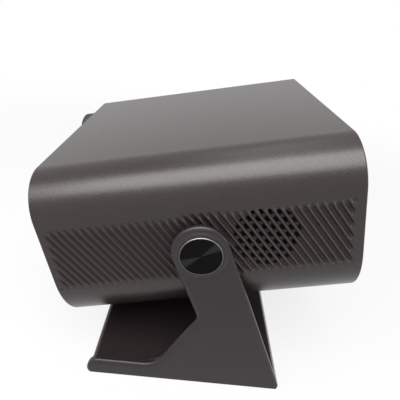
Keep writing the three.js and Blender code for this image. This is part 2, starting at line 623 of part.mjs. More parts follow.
// Sockets on the main board's back edge
function openSocket(socket) {
  const z = socketZ(socket);
  const front = rearFace - socket.depth;
  const outer = rectangle(socket.width + 2 * socket.wall, socket.height + 2 * socket.wall);
  const inner = rectangle(socket.width, socket.height);
  const shell = cut(
    alongY(outer, front, rearFace - gap, socket.fromCentre, z),
    alongY(inner, front + socket.wall, rearFace + overrun, socket.fromCentre, z),
  );
  const tongueZ = z + socket.height / 2 - socket.tongue / 2;
  const tongue = alongY(rectangle(socket.width - 2 * socket.wall, socket.tongue + gap),
    front, rearFace - socket.depth / 4, socket.fromCentre, tongueZ);
  return join(shell, tongue);
}
place(tiltGroup, 'hdmi_socket', openSocket(sockets.hdmi), steel);
place(tiltGroup, 'usb_socket', openSocket(sockets.usb), steel);
const audioZ = boardTop + gap + sockets.audio.side / 2;
const audioShape = alongY(rectangle(sockets.audio.side, sockets.audio.side),
  rearFace - sockets.audio.depth, rearFace - gap, sockets.audio.fromCentre, audioZ);
const audioEnd = rearFace - sockets.audio.depth + sockets.audio.bore;
const audioBore = rod(sockets.audio.bore, audioEnd, rearFace + overrun);
place(tiltGroup, 'audio_socket', cut(
  audioShape, facing.y(audioBore, sockets.audio.fromCentre, audioZ)), blackPlastic);

// Mains inlet: two pins in an oval well
function inletSocket() {
  const [width, height] = [inlet.width + 2 * inlet.wall, inlet.height + 2 * inlet.wall];
  const { fromCentre: x, abovePivot: z } = inlet;
  const shell = alongY(rectangle(width, height), rearFace - inlet.depth, rearFace, x, z);
  const flange = alongY(rectangle(width + 2 * inlet.flange, height + 2 * inlet.flange),
    rearFace + gap, rearFace + gap + inlet.flangeThickness, x, z);
  const neck = alongY(rectangle(width, height), rearFace - inlet.flangeThickness, rearFace + 2 * gap, x, z);
  const oval = rectangle(inlet.width, inlet.height, inlet.height / 2 - gap);
  const well = alongY(oval, rearFace - inlet.cavity, rearFace + overrun, x, z);
  const bore = rod(inlet.pinRadius + gap, rearFace - inlet.depth - overrun, rearFace, facets.tiny);
  const pinHole = (sign) => facing.y(bore, x + (sign * inlet.pinSpacing) / 2, z);
  return cut(join(shell, neck, flange), well, pinHole(1), pinHole(-1));
}
place(tiltGroup, 'power_inlet', inletSocket(), blackPlastic);
const pinEnds = [rearFace - inlet.depth - inlet.wall, rearFace - inlet.pinSetBack];
sides.forEach(([side, sign]) => {
  const pin = rod(inlet.pinRadius, ...pinEnds, facets.tiny);
  const x = inlet.fromCentre + (sign * inlet.pinSpacing) / 2;
  place(tiltGroup, `inlet_pin_${side}`, facing.y(pin, x, inlet.abovePivot), steel);
});

// Power button: a flange inside keeps it from falling out
const buttonFace = rearFace + button.proud;
const flangeBack = rearInner - gap;
const flangeFront = flangeBack - button.flangeHeight;
const stemEnd = mainY[1] + gap + button.travel;
const buttonShape = turned([
  [0, stemEnd], [button.stemRadius, stemEnd], [button.stemRadius, flangeFront],
  [button.radius + button.flange, flangeFront], [button.radius + button.flange, flangeBack],
  [button.radius, flangeBack], [button.radius, buttonFace - gap], [button.radius - gap, buttonFace],
  [0, buttonFace],
], facets.small);
place(tiltGroup, 'power_button', facing.y(buttonShape, button.fromCentre, -button.drop), darkStand);

// Tilt joint: a shouldered bolt on each side runs through the arm into a steel plate inside the housing
const bushRadius = bolt.radius + gap + bush.wall;
const seatDepth = armOuter + collar.height - cap.thickness + cap.proud;
const boltHeadOuter = seatDepth - gap;
const boltHeadInner = boltHeadOuter - bolt.headHeight;
const flangeSeat = boltHeadInner - gap - bush.flangeHeight;
const flangeTop = flangeSeat + bush.flangeHeight - gap / 2;
const boltEnd = innerSide - bolt.reach;
const boltShape = facing.x(turned([
  [0, boltEnd], [bolt.radius, boltEnd], [bolt.radius, boltHeadInner], [bolt.headRadius, boltHeadInner],
  [bolt.headRadius, boltHeadOuter], [0, boltHeadOuter],
], facets.small));
const bushShape = facing.x(turned([
  [bolt.radius + gap, armInner], [bushRadius, armInner], [bushRadius, flangeSeat],
  [bushRadius + bush.flange, flangeSeat], [bushRadius + bush.flange, flangeTop],
  [bolt.radius + gap, flangeTop], [bolt.radius + gap, armInner],
], facets.small));
const washerFaces = [halfWidth + gap, armInner - gap];
const washerShape = facing.x(pipe(washer.radius, bolt.radius + gap, ...washerFaces, facets.small));
const capSpigot = boltHeadOuter + gap;
const capOuter = seatDepth + cap.thickness;
const capShape = facing.x(turned([
  [0, capSpigot], [cap.radius, capSpigot], [cap.radius, capOuter - cap.chamfer],
  [cap.radius - cap.chamfer, capOuter], [cap.radius - cap.chamfer - cap.face, capOuter - cap.face],
  [0, capOuter - cap.face],
], facets.large));
const plateInner = innerSide - gap - pivotPlate.thickness;
const plateShape = cut(
  join(
    alongX(rectangle(pivotPlate.side, pivotPlate.side, pivotPlate.cornerRadius, arcStep.chamfer),
      plateInner, innerSide - gap),
    facing.x(rod(pivotPlate.bossRadius, plateInner - pivotPlate.bossDepth, innerSide - 2 * gap)),
  ),
  facing.x(rod(bolt.radius + gap, boltEnd - overrun, halfWidth)),
);
const atStand = (shape) => shape.translate([0, 0, stand.pivotHeight]);
sides.forEach(([side, sign]) => {
  place(tiltGroup, `pivot_plate_${side}`, mirrored(plateShape, sign), steel);
  place(tiltGroup, `pivot_bolt_${side}`, mirrored(boltShape, sign), steel);
  place(standGroup, `pivot_bush_${side}`, atStand(mirrored(bushShape, sign)), nylon);
  place(standGroup, `friction_washer_${side}`, atStand(mirrored(washerShape, sign)), nylon);
  place(standGroup, `pivot_cap_${side}`, atStand(mirrored(capShape, sign)), spunMetal);
});

// Stand frame: base tray and both arms in one moulding
const lean = radians(stand.lean);
const braceAngle = radians(stand.braceAngle);
const baseTop = stand.baseHeight - stand.pivotHeight;
const baseBottom = stand.rim - stand.pivotHeight;
const backEdge = (z) => (stand.headRadius - z * Math.sin(lean)) / Math.cos(lean);
const frontEdge = (z) => (-stand.headRadius - z * Math.sin(lean)) / Math.cos(lean);
const knee = [frontEdge(-stand.kneeDrop), -stand.kneeDrop];
const braceFoot = knee[0] - (knee[1] - baseTop) / Math.tan(braceAngle);

const heelPoint = [backEdge(baseBottom), baseBottom, stand.heelRadius];
const toePoints = [
  [-stand.front, baseTop, stand.noseRadius], [-stand.front, baseBottom, stand.toeRadius],
];

function armOutline() {
  const steps = Math.round(180 / arcStep.fine);
  const head = Array.from({ length: steps + 1 }, (unused, k) => {
    const angle = lean + (Math.PI * k) / steps;
    return [stand.headRadius * Math.cos(angle), stand.headRadius * Math.sin(angle)];
  });
  return outline([
    heelPoint, ...head, [...knee, stand.kneeRadius],
    [braceFoot, baseTop, stand.braceRadius], ...toePoints,
  ]);
}

const trayInner = {
  x: armOuter - stand.rimWall,
  front: -stand.front + stand.noseRadius,
  back: backEdge(baseTop) - stand.rimWall,
};
const skinUnder = baseTop - stand.skin;
const coverBottom = stand.rim + cover.recess - stand.pivotHeight;
const coverTop = coverBottom + cover.thickness;
const bossPlaces = [-1, 1].flatMap((sign) => [trayInner.front + boss.inset, trayInner.back - boss.inset].map(
  (y) => [sign * (trayInner.x - boss.inset), y]));

function trayOutline(inset) {
  const x = trayInner.x - inset;
  const [front, back] = [trayInner.front + inset, trayInner.back - inset];
  return outline([[x, front], [x, back], [-x, back], [-x, front]]);
}

// Fillet where an arm's inner face meets the base
function rootFillet() {
  const r = stand.rootRadius;
  const corner = outline([
    [armInner + gap, baseTop - gap], [armInner + gap, baseTop + r], [armInner, baseTop + r],
    [armInner - r, baseTop], [armInner - r, baseTop - gap],
  ]);
  const prism = alongY(corner, braceFoot, backEdge(baseTop) - r);
  const round = rod(r, braceFoot - overrun, backEdge(baseTop), facets.medium);
  return cut(prism, facing.y(round, armInner - r, baseTop + r));
}

function standFrame() {
  const base = alongX(outline([
    heelPoint, [backEdge(baseTop), baseTop], ...toePoints,
  ]), -armInner - stand.edgeRound, armInner + stand.edgeRound);
  const armShape = join(
    alongX(armOutline(), armInner, armOuter, stand.edgeRound),
    facing.x(turned([[0, armOuter - gap], [collar.baseRadius, armOuter - gap], [collar.baseRadius, armOuter],
      [collar.topRadius, armOuter + collar.height], [0, armOuter + collar.height]], facets.large)),
    rootFillet(),
  );
  const armTools = join(
    facing.x(rod(bushRadius + gap, armInner - overrun, armOuter + overrun)),
    facing.x(rod(bolt.headRadius + gap, flangeSeat - gap, armOuter + overrun)),
    facing.x(rod(cap.radius + gap, seatDepth - gap, armOuter + overrun, facets.large)),
  );
  const frame = join(base, mirrored(armShape, 1), mirrored(armShape, -1));
  const hollow = alongZ(trayOutline(0), baseBottom - overrun, skinUnder);
  const bossShape = rod(boss.radius, coverTop + gap, skinUnder + gap, facets.tiny);
  const boreShape = rod(baseScrew.shankRadius + gap, coverTop, skinUnder - gap, facets.tiny);
  const bosses = bossPlaces.map(([x, y]) => facing.z(bossShape, x, y));
  const bores = bossPlaces.map(([x, y]) => facing.z(boreShape, x, y));
  return cut(join(cut(frame, hollow, mirrored(armTools, 1), mirrored(armTools, -1)), ...bosses), ...bores);
}
place(standGroup, 'stand_frame', atStand(standFrame()), darkStand);

// Under the base: a steel plate for weight, a cover with its screws, and four rubber feet
const ballastHoles = bossPlaces.map(([x, y]) => facing.z(
  rod(boss.radius + ballast.margin, skinUnder - overrun, skinUnder + overrun, facets.tiny), x, y));
const ballastTop = skinUnder - gap;
const ballastShape = alongZ(trayOutline(ballast.margin), ballastTop - ballast.thickness, ballastTop);
place(standGroup, 'ballast_plate', atStand(cut(ballastShape, ...ballastHoles)), steel);

const baseScrewSeat = coverBottom + baseScrew.headHeight;
const coverHole = join(
  rod(baseScrew.headRadius + gap, coverBottom - overrun, baseScrewSeat + gap, facets.tiny),
  rod(baseScrew.shankRadius + gap, coverBottom, coverTop + overrun, facets.tiny),
);
const coverHoles = bossPlaces.map(([x, y]) => facing.z(coverHole, x, y));
place(standGroup, 'base_cover', atStand(cut(
  alongZ(trayOutline(gap), coverBottom, coverTop), ...coverHoles)), blackPlastic);

const baseScrewEnd = coverBottom + baseScrew.length;
const baseScrewShape = facing.z(turned([
  [0, coverBottom], [baseScrew.headRadius, coverBottom], [baseScrew.headRadius, baseScrewSeat],
  [baseScrew.shankRadius, baseScrewSeat], [baseScrew.shankRadius, baseScrewEnd], [0, baseScrewEnd],
], facets.tiny));
bossPlaces.forEach(([x, y], index) => {
  place(standGroup, `base_screw_${index + 1}`, atStand(baseScrewShape.translate([x, y, 0])), steel);
});

const footOutline = rectangle(foot.length, foot.width, foot.cornerRadius, arcStep.chamfer);
const footShape = alongZ(footOutline, 0, foot.thickness);
const footX = trayInner.x - boss.inset - boss.radius - foot.length / 2 - foot.inset;
[[1, 'left'], [-1, 'right']].forEach(([sign, side]) => {
  [['front', trayInner.front + foot.inset], ['back', trayInner.back - foot.inset]].forEach(([end, y]) => {
    place(standGroup, `foot_pad_${end}_${side}`, footShape.translate([sign * footX, y, 0]), rubber);
  });
});

// The origin is under the middle of the whole object's box
part.updateMatrixWorld(true);
const middle = new THREE.Box3().setFromObject(part, true).getCenter(new THREE.Vector3());
part.position.set(-middle.x, -middle.y, 0);

export default part;
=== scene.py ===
import json
import math

import bmesh
import bpy
from mathutils import Matrix, Vector


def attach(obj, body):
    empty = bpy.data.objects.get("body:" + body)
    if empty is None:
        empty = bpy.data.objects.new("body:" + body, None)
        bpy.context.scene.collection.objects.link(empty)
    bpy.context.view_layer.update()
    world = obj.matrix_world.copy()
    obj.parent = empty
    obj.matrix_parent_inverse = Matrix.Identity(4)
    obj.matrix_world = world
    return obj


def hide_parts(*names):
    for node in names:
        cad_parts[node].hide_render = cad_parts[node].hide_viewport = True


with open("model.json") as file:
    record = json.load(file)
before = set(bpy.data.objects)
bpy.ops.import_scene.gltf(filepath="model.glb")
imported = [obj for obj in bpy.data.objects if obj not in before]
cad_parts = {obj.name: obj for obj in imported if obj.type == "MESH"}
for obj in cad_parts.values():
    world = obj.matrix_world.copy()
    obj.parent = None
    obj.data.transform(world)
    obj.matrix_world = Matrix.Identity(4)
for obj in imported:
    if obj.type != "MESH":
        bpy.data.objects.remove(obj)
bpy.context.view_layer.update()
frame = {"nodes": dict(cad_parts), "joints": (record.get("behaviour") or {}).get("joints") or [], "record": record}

# A portable projector that hangs between the arms of a U-shaped stand.
# Sizes are millimetres; pieces are drawn in the housing's or the stand's own axes and then put in place.
mm = 0.001
joints = {joint["name"]: joint for joint in frame["joints"]}
pivot = Vector(joints["tilt"]["pos_m"])
lensAxis = Vector(joints["lens_slide"]["axis"])
restTilt = math.atan2(lensAxis.z, lensAxis.y)
scaleDown = Matrix.Scale(mm, 4)
tiltAxes = Matrix.Translation(pivot) @ Matrix.Rotation(restTilt, 4, "X") @ scaleDown
standAxes = Matrix.Translation(pivot) @ scaleDown
alongX = Matrix.Rotation(math.radians(-90), 4, "Z")  # turns a piece made about Y so that it lies about X
alongZ = Matrix.Rotation(math.radians(90), 4, "X")  # the same for Z

gap = 0.3  # air between two pieces that seat on each other
reach = 6  # how far a cutting shape runs past the face that it cuts
hair = 0.02  # keeps two cutting faces from lying in one plane


# Materials
def toLinear(code):
    channels = [int(code[place:place + 2], 16) / 255 for place in (1, 3, 5)]
    return [c / 12.92 if c <= 0.04045 else ((c + 0.055) / 1.055) ** 2.4 for c in channels] + [1]


def addNode(tree, kind, values=None, links=None, **settings):
    node = tree.nodes.new(kind)
    for name, value in settings.items():
        setattr(node, name, value)
    for socket, value in (values or {}).items():
        node.inputs[socket].default_value = value
    for socket, source in (links or {}).items():
        tree.links.new(source, node.inputs[socket])
    return node


def startMaterial(name, look):
    material = bpy.data.materials.new(name)
    material.use_nodes = True
    tree = material.node_tree
    shader = tree.nodes["Principled BSDF"]
    shader.inputs["Base Color"].default_value = toLinear(look["color"])
    shader.inputs["Roughness"].default_value = look["roughness"]
    shader.inputs["Metallic"].default_value = look.get("metallic", 0)
    for socket in ("IOR", "Specular IOR Level", "Coat Weight", "Coat Roughness", "Transmission Weight",
                   "Sheen Weight", "Anisotropic"):
        if socket in look:
            shader.inputs[socket].default_value = look[socket]
    return material, tree, shader


# Colour, roughness and bump that wander a little, each at a real grain size in millimetres
def addGrain(tree, shader, look):
    place = addNode(tree, "ShaderNodeTexCoord")
    fine = addNode(tree, "ShaderNodeTexNoise", {"Scale": 1 / (look["grain"] * mm), "Detail": 2.0,
                                                "Roughness": 0.6},
                   {"Vector": place.outputs["Object"]})
    broad = addNode(tree, "ShaderNodeTexNoise", {"Scale": 1 / (look["patch"] * mm), "Detail": 3.0},
                    {"Vector": place.outputs["Object"]})
    shade = addNode(tree, "ShaderNodeMapRange", {"From Min": 0.3, "From Max": 0.7,
                                                 "To Min": 1 - look["shadeShift"],
                    "To Max": 1 + look["shadeShift"]}, {"Value": broad.outputs["Fac"]})
    speck = addNode(tree, "ShaderNodeMapRange", {"From Min": 0.3, "From Max": 0.7,
                                                 "To Min": 1 - look["speckle"],
                    "To Max": 1 + look["speckle"]}, {"Value": fine.outputs["Fac"]})
    both = addNode(tree, "ShaderNodeMath", links={0: shade.outputs[0], 1: speck.outputs[0]},
                   operation="MULTIPLY")
    tint = addNode(tree, "ShaderNodeVectorMath", {0: toLinear(look["color"])[:3]}, {3: both.outputs[0]},
                   operation="SCALE")
    tree.links.new(tint.outputs[0], shader.inputs["Base Color"])
    rough = addNode(tree, "ShaderNodeMapRange", {"From Min": 0.3, "From Max": 0.7,
                    "To Min": look["roughness"] - look["roughShift"],
                    "To Max": look["roughness"] + look["roughShift"]}, {"Value": fine.outputs["Fac"]})
    tree.links.new(rough.outputs[0], shader.inputs["Roughness"])
    bump = addNode(tree, "ShaderNodeBump", {"Strength": look["bump"], "Distance": look["grain"] * mm / 3},
                   {"Height": fine.outputs["Fac"]})
    tree.links.new(bump.outputs["Normal"], shader.inputs["Normal"])


# ABS, moulded in a spark-eroded tool: satin, with a fine sparkle in its highlights
housingLook = {
    "color": "#241c1c", "roughness": 0.3, "Specular IOR Level": 0.45, "grain": 0.55, "patch": 45,
    "shadeShift": 0.04, "speckle": 0.10, "roughShift": 0.07, "bump": 0.22,
}
# The same ABS in the grooves, duller from the tool's coarse spark marks; its darker colour towards the bottom is
# painted shade
grooveMarksAndShadeLook = {"color": "#211819", "roughness": 0.58, "Specular IOR Level": 0.26, "from": 0.2, "to": 0.85}
# ABS of the stand, from the same kind of tool and a touch duller
standLook = {
    "color": "#221c1d", "roughness": 0.32, "Specular IOR Level": 0.34, "grain": 0.5, "patch": 40,
    "shadeShift": 0.05, "speckle": 0.06, "roughShift": 0.05, "bump": 0.14,
}
# Polycarbonate ABS of the end panels: matt black, moulded in a blasted tool
panelLook = {
    "color": "#1e1e20", "roughness": 0.5, "Specular IOR Level": 0.4, "grain": 0.4, "patch": 30,
    "shadeShift": 0.05, "speckle": 0.08, "roughShift": 0.06, "bump": 0.18,
}
# Steel, zinc plated: grey with a soft cloudy shine
steelLook = {
    "color": "#9a9da1", "roughness": 0.34, "metallic": 1, "grain": 0.7, "patch": 8,
    "shadeShift": 0.08, "speckle": 0.04, "roughShift": 0.08, "bump": 0.05,
}
# Aluminium, extruded and left bare: pale and dull
aluminiumLook = {
    "color": "#b4b6b8", "roughness": 0.42, "metallic": 1, "grain": 0.5, "patch": 12,
    "shadeShift": 0.05, "speckle": 0.05, "roughShift": 0.06, "bump": 0.06,
}
# Copper plate, bare and a little tarnished
copperLook = {
    "color": "#b8795a", "roughness": 0.38, "metallic": 1, "grain": 0.6, "patch": 6,
    "shadeShift": 0.12, "speckle": 0.05, "roughShift": 0.08, "bump": 0.05,
}
# Solder resist over glass epoxy: green, glossy and slightly uneven
boardLook = {
    "color": "#1f4a33", "roughness": 0.35, "grain": 0.9, "patch": 9,
    "shadeShift": 0.1, "speckle": 0.05, "roughShift": 0.05, "bump": 0.08,
}
# Natural rubber, moulded: matt and a little dusty
rubberLook = {
    "color": "#1a1a1b", "roughness": 0.85, "Specular IOR Level": 0.3, "grain": 0.6, "patch": 7,
    "shadeShift": 0.12, "speckle": 0.1, "roughShift": 0.05, "bump": 0.25,
}
# Nylon, turned and dyed black: soft and waxy
nylonLook = {
    "color": "#2b2a29", "roughness": 0.5, "grain": 0.6, "patch": 9,
    "shadeShift": 0.04, "speckle": 0.03, "roughShift": 0.05, "bump": 0.06,
}
# Paper pulp of a speaker cone: black and fibrous
paperLook = {
    "color": "#1b1b1c", "roughness": 0.9, "Specular IOR Level": 0.2, "grain": 0.8, "patch": 6,
    "shadeShift": 0.15, "speckle": 0.2, "roughShift": 0.04, "bump": 0.5,
}


def mouldedMaterial(name, look):
    material, tree, shader = startMaterial(name, look)
    addGrain(tree, shader, look)
    return material


# Leads colour, roughness and shine from one look to another by the depth that is stored at each point; the darker
# colour deep down is painted shade in the grooves
def dullAndShadeByRecess(material, look, deepMarksAndShadeLook):
    tree = material.node_tree
    shader = tree.nodes["Principled BSDF"]
    depth = addNode(tree, "ShaderNodeAttribute", attribute_name="recess")
    share = addNode(tree, "ShaderNodeMapRange", {"From Min": deepMarksAndShadeLook["from"], "From Max": deepMarksAndShadeLook["to"]},
                    {"Value": depth.outputs["Fac"]}, interpolation_type="SMOOTHSTEP")
    color = shader.inputs["Base Color"].links[0].from_socket
    # painted shade: the colour darkens towards the bottom of each groove
    mixed = addNode(tree, "ShaderNodeMix", {7: toLinear(deepMarksAndShadeLook["color"])}, {0: share.outputs[0], 6: color},
                    data_type="RGBA")
    tree.links.new(mixed.outputs[2], shader.inputs["Base Color"])
    rough = shader.inputs["Roughness"].links[0].from_socket
    rougher = addNode(tree, "ShaderNodeMix", {3: deepMarksAndShadeLook["roughness"]}, {0: share.outputs[0], 2: rough})
    tree.links.new(rougher.outputs[0], shader.inputs["Roughness"])
    shine = addNode(tree, "ShaderNodeMapRange", {"To Min": look["Specular IOR Level"],
                    "To Max": deepMarksAndShadeLook["Specular IOR Level"]}, {"Value": share.outputs[0]})
    tree.links.new(shine.outputs[0], shader.inputs["Specular IOR Level"])


# Aluminium, anodised black, its face spun; two fans of lighter colour on it are a painted highlight where the
# turning marks would catch the light
spunLook = {
    "color": "#171617", "paintedHighlightColor": "#302f2f", "roughness": 0.24, "metallic": 1, "Anisotropic": 0.3,
    "ring": 0.5,
    "paintedHighlightAngles": (42, 212), "paintedHighlightWidth": 19,
}


def spunMaterial(name, look, turnAxis):
    material, tree, shader = startMaterial(name, look)
    place = addNode(tree, "ShaderNodeTexCoord")
    middle = addNode(tree, "ShaderNodeVectorMath", {1: (0.5, 0.5, 0.5)}, {0: place.outputs["Generated"]},
                     operation="SUBTRACT")
    sides = addNode(tree, "ShaderNodeSeparateXYZ", links={0: middle.outputs[0]})
    angle = addNode(tree, "ShaderNodeMath", links={0: sides.outputs["Z"], 1: sides.outputs["Y"]},
                    operation="ARCTAN2")
    # painted highlight: the colour turns lighter in two fans at fixed angles round the disc
    highlightMasks = []
    for turn in look["paintedHighlightAngles"]:
        away = addNode(tree, "ShaderNodeMath", {1: math.radians(turn)}, {0: angle.outputs[0]},
                       operation="SUBTRACT")
        cosine = addNode(tree, "ShaderNodeMath", links={0: away.outputs[0]}, operation="COSINE")
        edge = math.cos(math.radians(look["paintedHighlightWidth"]))
        highlightMasks.append(addNode(tree, "ShaderNodeMapRange", {"From Min": edge, "From Max": 1.0},
                              {"Value": cosine.outputs[0]}, interpolation_type="SMOOTHSTEP"))
    share = addNode(tree, "ShaderNodeMath", links={0: highlightMasks[0].outputs[0], 1: highlightMasks[1].outputs[0]},
                    operation="ADD")
    paintedFans = addNode(tree, "ShaderNodeMix", {6: toLinear(look["color"]), 7: toLinear(look["paintedHighlightColor"])},
                  {0: share.outputs[0]}, data_type="RGBA")
    tree.links.new(paintedFans.outputs[2], shader.inputs["Base Color"])
    tangent = addNode(tree, "ShaderNodeTangent", direction_type="RADIAL", axis=turnAxis)
    tree.links.new(tangent.outputs[0], shader.inputs["Tangent"])
    streak = addNode(tree, "ShaderNodeTexNoise", {"Scale": 1 / (look["ring"] * mm), "Detail": 1.0},
                     {"Vector": place.outputs["Object"]})
    rough = addNode(tree, "ShaderNodeMapRange", {"From Min": 0.3, "From Max": 0.7,
                                                 "To Min": look["roughness"] - 0.04,
                    "To Max": look["roughness"] + 0.04}, {"Value": streak.outputs["Fac"]})
    tree.links.new(rough.outputs[0], shader.inputs["Roughness"])
    return material


# Aluminium, the edge cut bright with a diamond tool after anodising
cutEdgeLook = {
    "color": "#6e6c6a", "roughness": 0.42, "metallic": 1, "grain": 0.5, "patch": 5,
    "shadeShift": 0.03, "speckle": 0.03, "roughShift": 0.04, "bump": 0.02,
}
# Crown glass with a coating that reflects a little violet
glassLook = {"color": "#e9eef5", "roughness": 0.02, "IOR": 1.52, "Transmission Weight": 1.0,
             "Coat Weight": 0.4}
# Acrylic that passes infra-red light and looks dark red
windowLook = {"color": "#1c0a0d", "roughness": 0.06, "Coat Weight": 0.6, "Coat Roughness": 0.03}


def glassMaterial(name, look):
    material, tree, shader = startMaterial(name, look)
    facing = addNode(tree, "ShaderNodeLayerWeight", {"Blend": 0.35})
    film = addNode(tree, "ShaderNodeMix", {6: toLinear(look["color"]), 7: toLinear("#b9a7e8")},
                   {0: facing.outputs["Facing"]}, data_type="RGBA")
    tree.links.new(film.outputs[2], shader.inputs["Base Color"])
    return material


def polishedMaterial(name, look):
    material, tree, shader = startMaterial(name, look)
    place = addNode(tree, "ShaderNodeTexCoord")
    smear = addNode(tree, "ShaderNodeTexNoise", {"Scale": 1 / (6 * mm), "Detail": 3.0},
                    {"Vector": place.outputs["Object"]})
    rough = addNode(tree, "ShaderNodeMapRange", {"From Min": 0.35, "From Max": 0.7,
                                                 "To Min": look["roughness"],
                    "To Max": look["roughness"] * 2.2}, {"Value": smear.outputs["Fac"]})
    tree.links.new(rough.outputs[0], shader.inputs["Roughness"])
    return material


housingPlastic = mouldedMaterial("absSparkEroded", housingLook)
dullAndShadeByRecess(housingPlastic, housingLook, grooveMarksAndShadeLook)
standPlastic = mouldedMaterial("absStandMoulded", standLook)
panelPlastic = mouldedMaterial("pcAbsBlasted", panelLook)
zincSteel = mouldedMaterial("steelZincPlated", steelLook)
bareAluminium = mouldedMaterial("aluminiumExtruded", aluminiumLook)
bareCopper = mouldedMaterial("copperPlate", copperLook)
greenBoard = mouldedMaterial("epoxyGlassBoard", boardLook)
footRubber = mouldedMaterial("rubberMoulded", rubberLook)
blackNylon = mouldedMaterial("nylonTurned", nylonLook)
conePaper = mouldedMaterial("paperPulp", paperLook)
cutEdge = mouldedMaterial("aluminiumDiamondCut", cutEdgeLook)
spunBlack = spunMaterial("aluminiumAnodisedSpun", spunLook, "X")
coatedGlass = glassMaterial("glassCoated", glassLook)
redWindow = polishedMaterial("acrylicDarkRed", windowLook)
slotMaterials = {
    "housing_plastic": housingPlastic, "stand_plastic": standPlastic, "black_plastic": panelPlastic,
    "window_plastic": redWindow, "optical_glass": coatedGlass, "spun_metal": spunBlack, "steel": zincSteel,
    "aluminium": bareAluminium, "engine_plastic": panelPlastic, "copper": bareCopper,
    "circuit_board": greenBoard, "rubber": footRubber, "nylon": blackNylon, "speaker_paper": conePaper,
}
print("materials ready")


# Mesh tools
# A loop of (a, b) points from corners (a, b, radius), with so many facets in a quarter turn
def roundedLoop(corners, steps=8):
    loop = []
    for index, corner in enumerate(corners):
        here = Vector(corner[:2])
        radius = corner[2] if len(corner) > 2 else 0
        if radius == 0:
            loop.append(here)
            continue
        before = (Vector(corners[index - 1][:2]) - here).normalized()
        after = (Vector(corners[(index + 1) % len(corners)][:2]) - here).normalized()
        half = before.angle(after) / 2
        centre = here + (before + after).normalized() * (radius / math.sin(half))
        start = here + before * (radius / math.tan(half)) - centre
        turn = math.pi - 2 * half
        if before.x * after.y - before.y * after.x > 0:
            turn = -turn
        parts = max(1, round(abs(turn) / (math.pi / 2) * steps))
        loop += [centre + Matrix.Rotation(turn * part / parts, 2) @ start for part in range(parts + 1)]
    return loop


# A loop that runs anticlockwise, moved inwards by one distance all round
def insetLoop(loop, distance):
    moved = []
    for index, here in enumerate(loop):
        before = (here - loop[index - 1]).normalized()
        after = (loop[(index + 1) % len(loop)] - here).normalized()
        normal = Vector((-before.y - after.y, before.x + after.x)).normalized()
        share = normal.dot(Vector((-before.y, before.x)))
        moved.append(here + normal * (distance / max(share, 0.3)))
    return moved


def rectangleLoop(width, height, radius=0, steps=6):
    a, b = width / 2, height / 2
    return roundedLoop([(a, -b, radius), (a, b, radius), (-a, b, radius), (-a, -b, radius)], steps)


def loftRings(mesh, rings, closed=False):
    rows = [[mesh.verts.new(point) for point in ring] for ring in rings]
    pairs = list(zip(rows, rows[1:])) + ([(rows[-1], rows[0])] if closed else [])
    for low, high in pairs:
        for k in range(len(low)):
            following = (k + 1) % len(low)
            mesh.faces.new((low[k], low[following], high[following], high[k]))
    if not closed:
        mesh.faces.new(rows[0][::-1])
        mesh.faces.new(rows[-1])


# Quarter-round steps for an edge: how far in from the outline, and how far along from the face.
# Two radii make it oval.
def edgeSteps(radius, steps=4):
    if radius == 0:
        return [(0, 0)]
    wide, deep = radius if isinstance(radius, tuple) else (radius, radius)
    steps = 10 if wide != deep else steps
    angles = [math.pi / 2 * k / steps for k in range(steps + 1)]
    return [(wide * (1 - math.sin(angle)), deep * (1 - math.cos(angle))) for angle in angles]


# A plate from an anticlockwise loop, thick from near to far, with rounded rims; axis says which way it is
# thick. The loop may be a function that draws it for an inset.
def platePiece(mesh, loop, near, far, nearRound=0, farRound=0, axis="y", centre=(0, 0)):
    place = {
        "x": lambda a, b, c: (c, a + centre[0], b + centre[1]),
        "y": lambda a, b, c: (a + centre[0], c, b + centre[1]),
        "z": lambda a, b, c: (a + centre[0], b + centre[1], c),
    }[axis]
    levels = [(inset, near + along) for inset, along in edgeSteps(nearRound)]
    levels += [(inset, far - along) for inset, along in reversed(edgeSteps(farRound))]
    rings = []
    for inset, c in levels:
        if callable(loop):
            ring = loop(inset)
        else:
            ring = insetLoop(loop, inset) if inset > 0 else loop
        rings.append([place(point.x, point.y, c) for point in ring])
    loftRings(mesh, rings)


# A turned piece about the Y axis from (radius, along) points; a profile with no point on the axis is a ring
def turnPiece(mesh, profile, segments=96, centre=(0, 0)):
    angles = [2 * math.pi * k / segments for k in range(segments)]
    rows = []
    for radius, along in profile:
        if radius < 1e-6:
            rows.append([mesh.verts.new((centre[0], along, centre[1]))])
        else:
            rows.append([mesh.verts.new((centre[0] + radius * math.cos(a), along,
                                         centre[1] + radius * math.sin(a)))
                         for a in angles])
    isRing = all(radius >= 1e-6 for radius, along in profile)
    pairs = list(zip(rows, rows[1:])) + ([(rows[-1], rows[0])] if isRing else [])
    bands = []
    for low, high in pairs:
        band = []
        for k in range(segments):
            j = (k + 1) % segments
            if len(low) == 1 and len(high) > 1:
                band.append(mesh.faces.new((low[0], high[j], high[k])))
            elif len(high) == 1 and len(low) > 1:
                band.append(mesh.faces.new((low[k], low[j], high[0])))
            elif len(low) > 1:
                band.append(mesh.faces.new((low[k], low[j], high[j], high[k])))
        bands.append(band)
    return bands


def rodProfile(radius, near, far):
    return [(0, near), (radius, near), (radius, far), (0, far)]


# A profile with rounded corners: (radius, along) or (radius, along, rounding)
def profileLoop(corners, steps=4):
    return [(max(point.x, 0), point.y) for point in roundedLoop(corners, steps)]


def newObject(name, mesh, axes):
    bmesh.ops.recalc_face_normals(mesh, faces=mesh.faces)
    data = bpy.data.meshes.new(name)
    mesh.transform(axes)
    mesh.to_mesh(data)
    mesh.free()
    piece = bpy.data.objects.new(name, data)
    bpy.context.scene.collection.objects.link(piece)
    return piece


def applyModifiers(piece):
    bpy.context.view_layer.update()
    graph = bpy.context.evaluated_depsgraph_get()
    made = bpy.data.meshes.new_from_object(piece.evaluated_get(graph), depsgraph=graph)
    piece.modifiers.clear()
    old = piece.data
    piece.data = made
    bpy.data.meshes.remove(old)


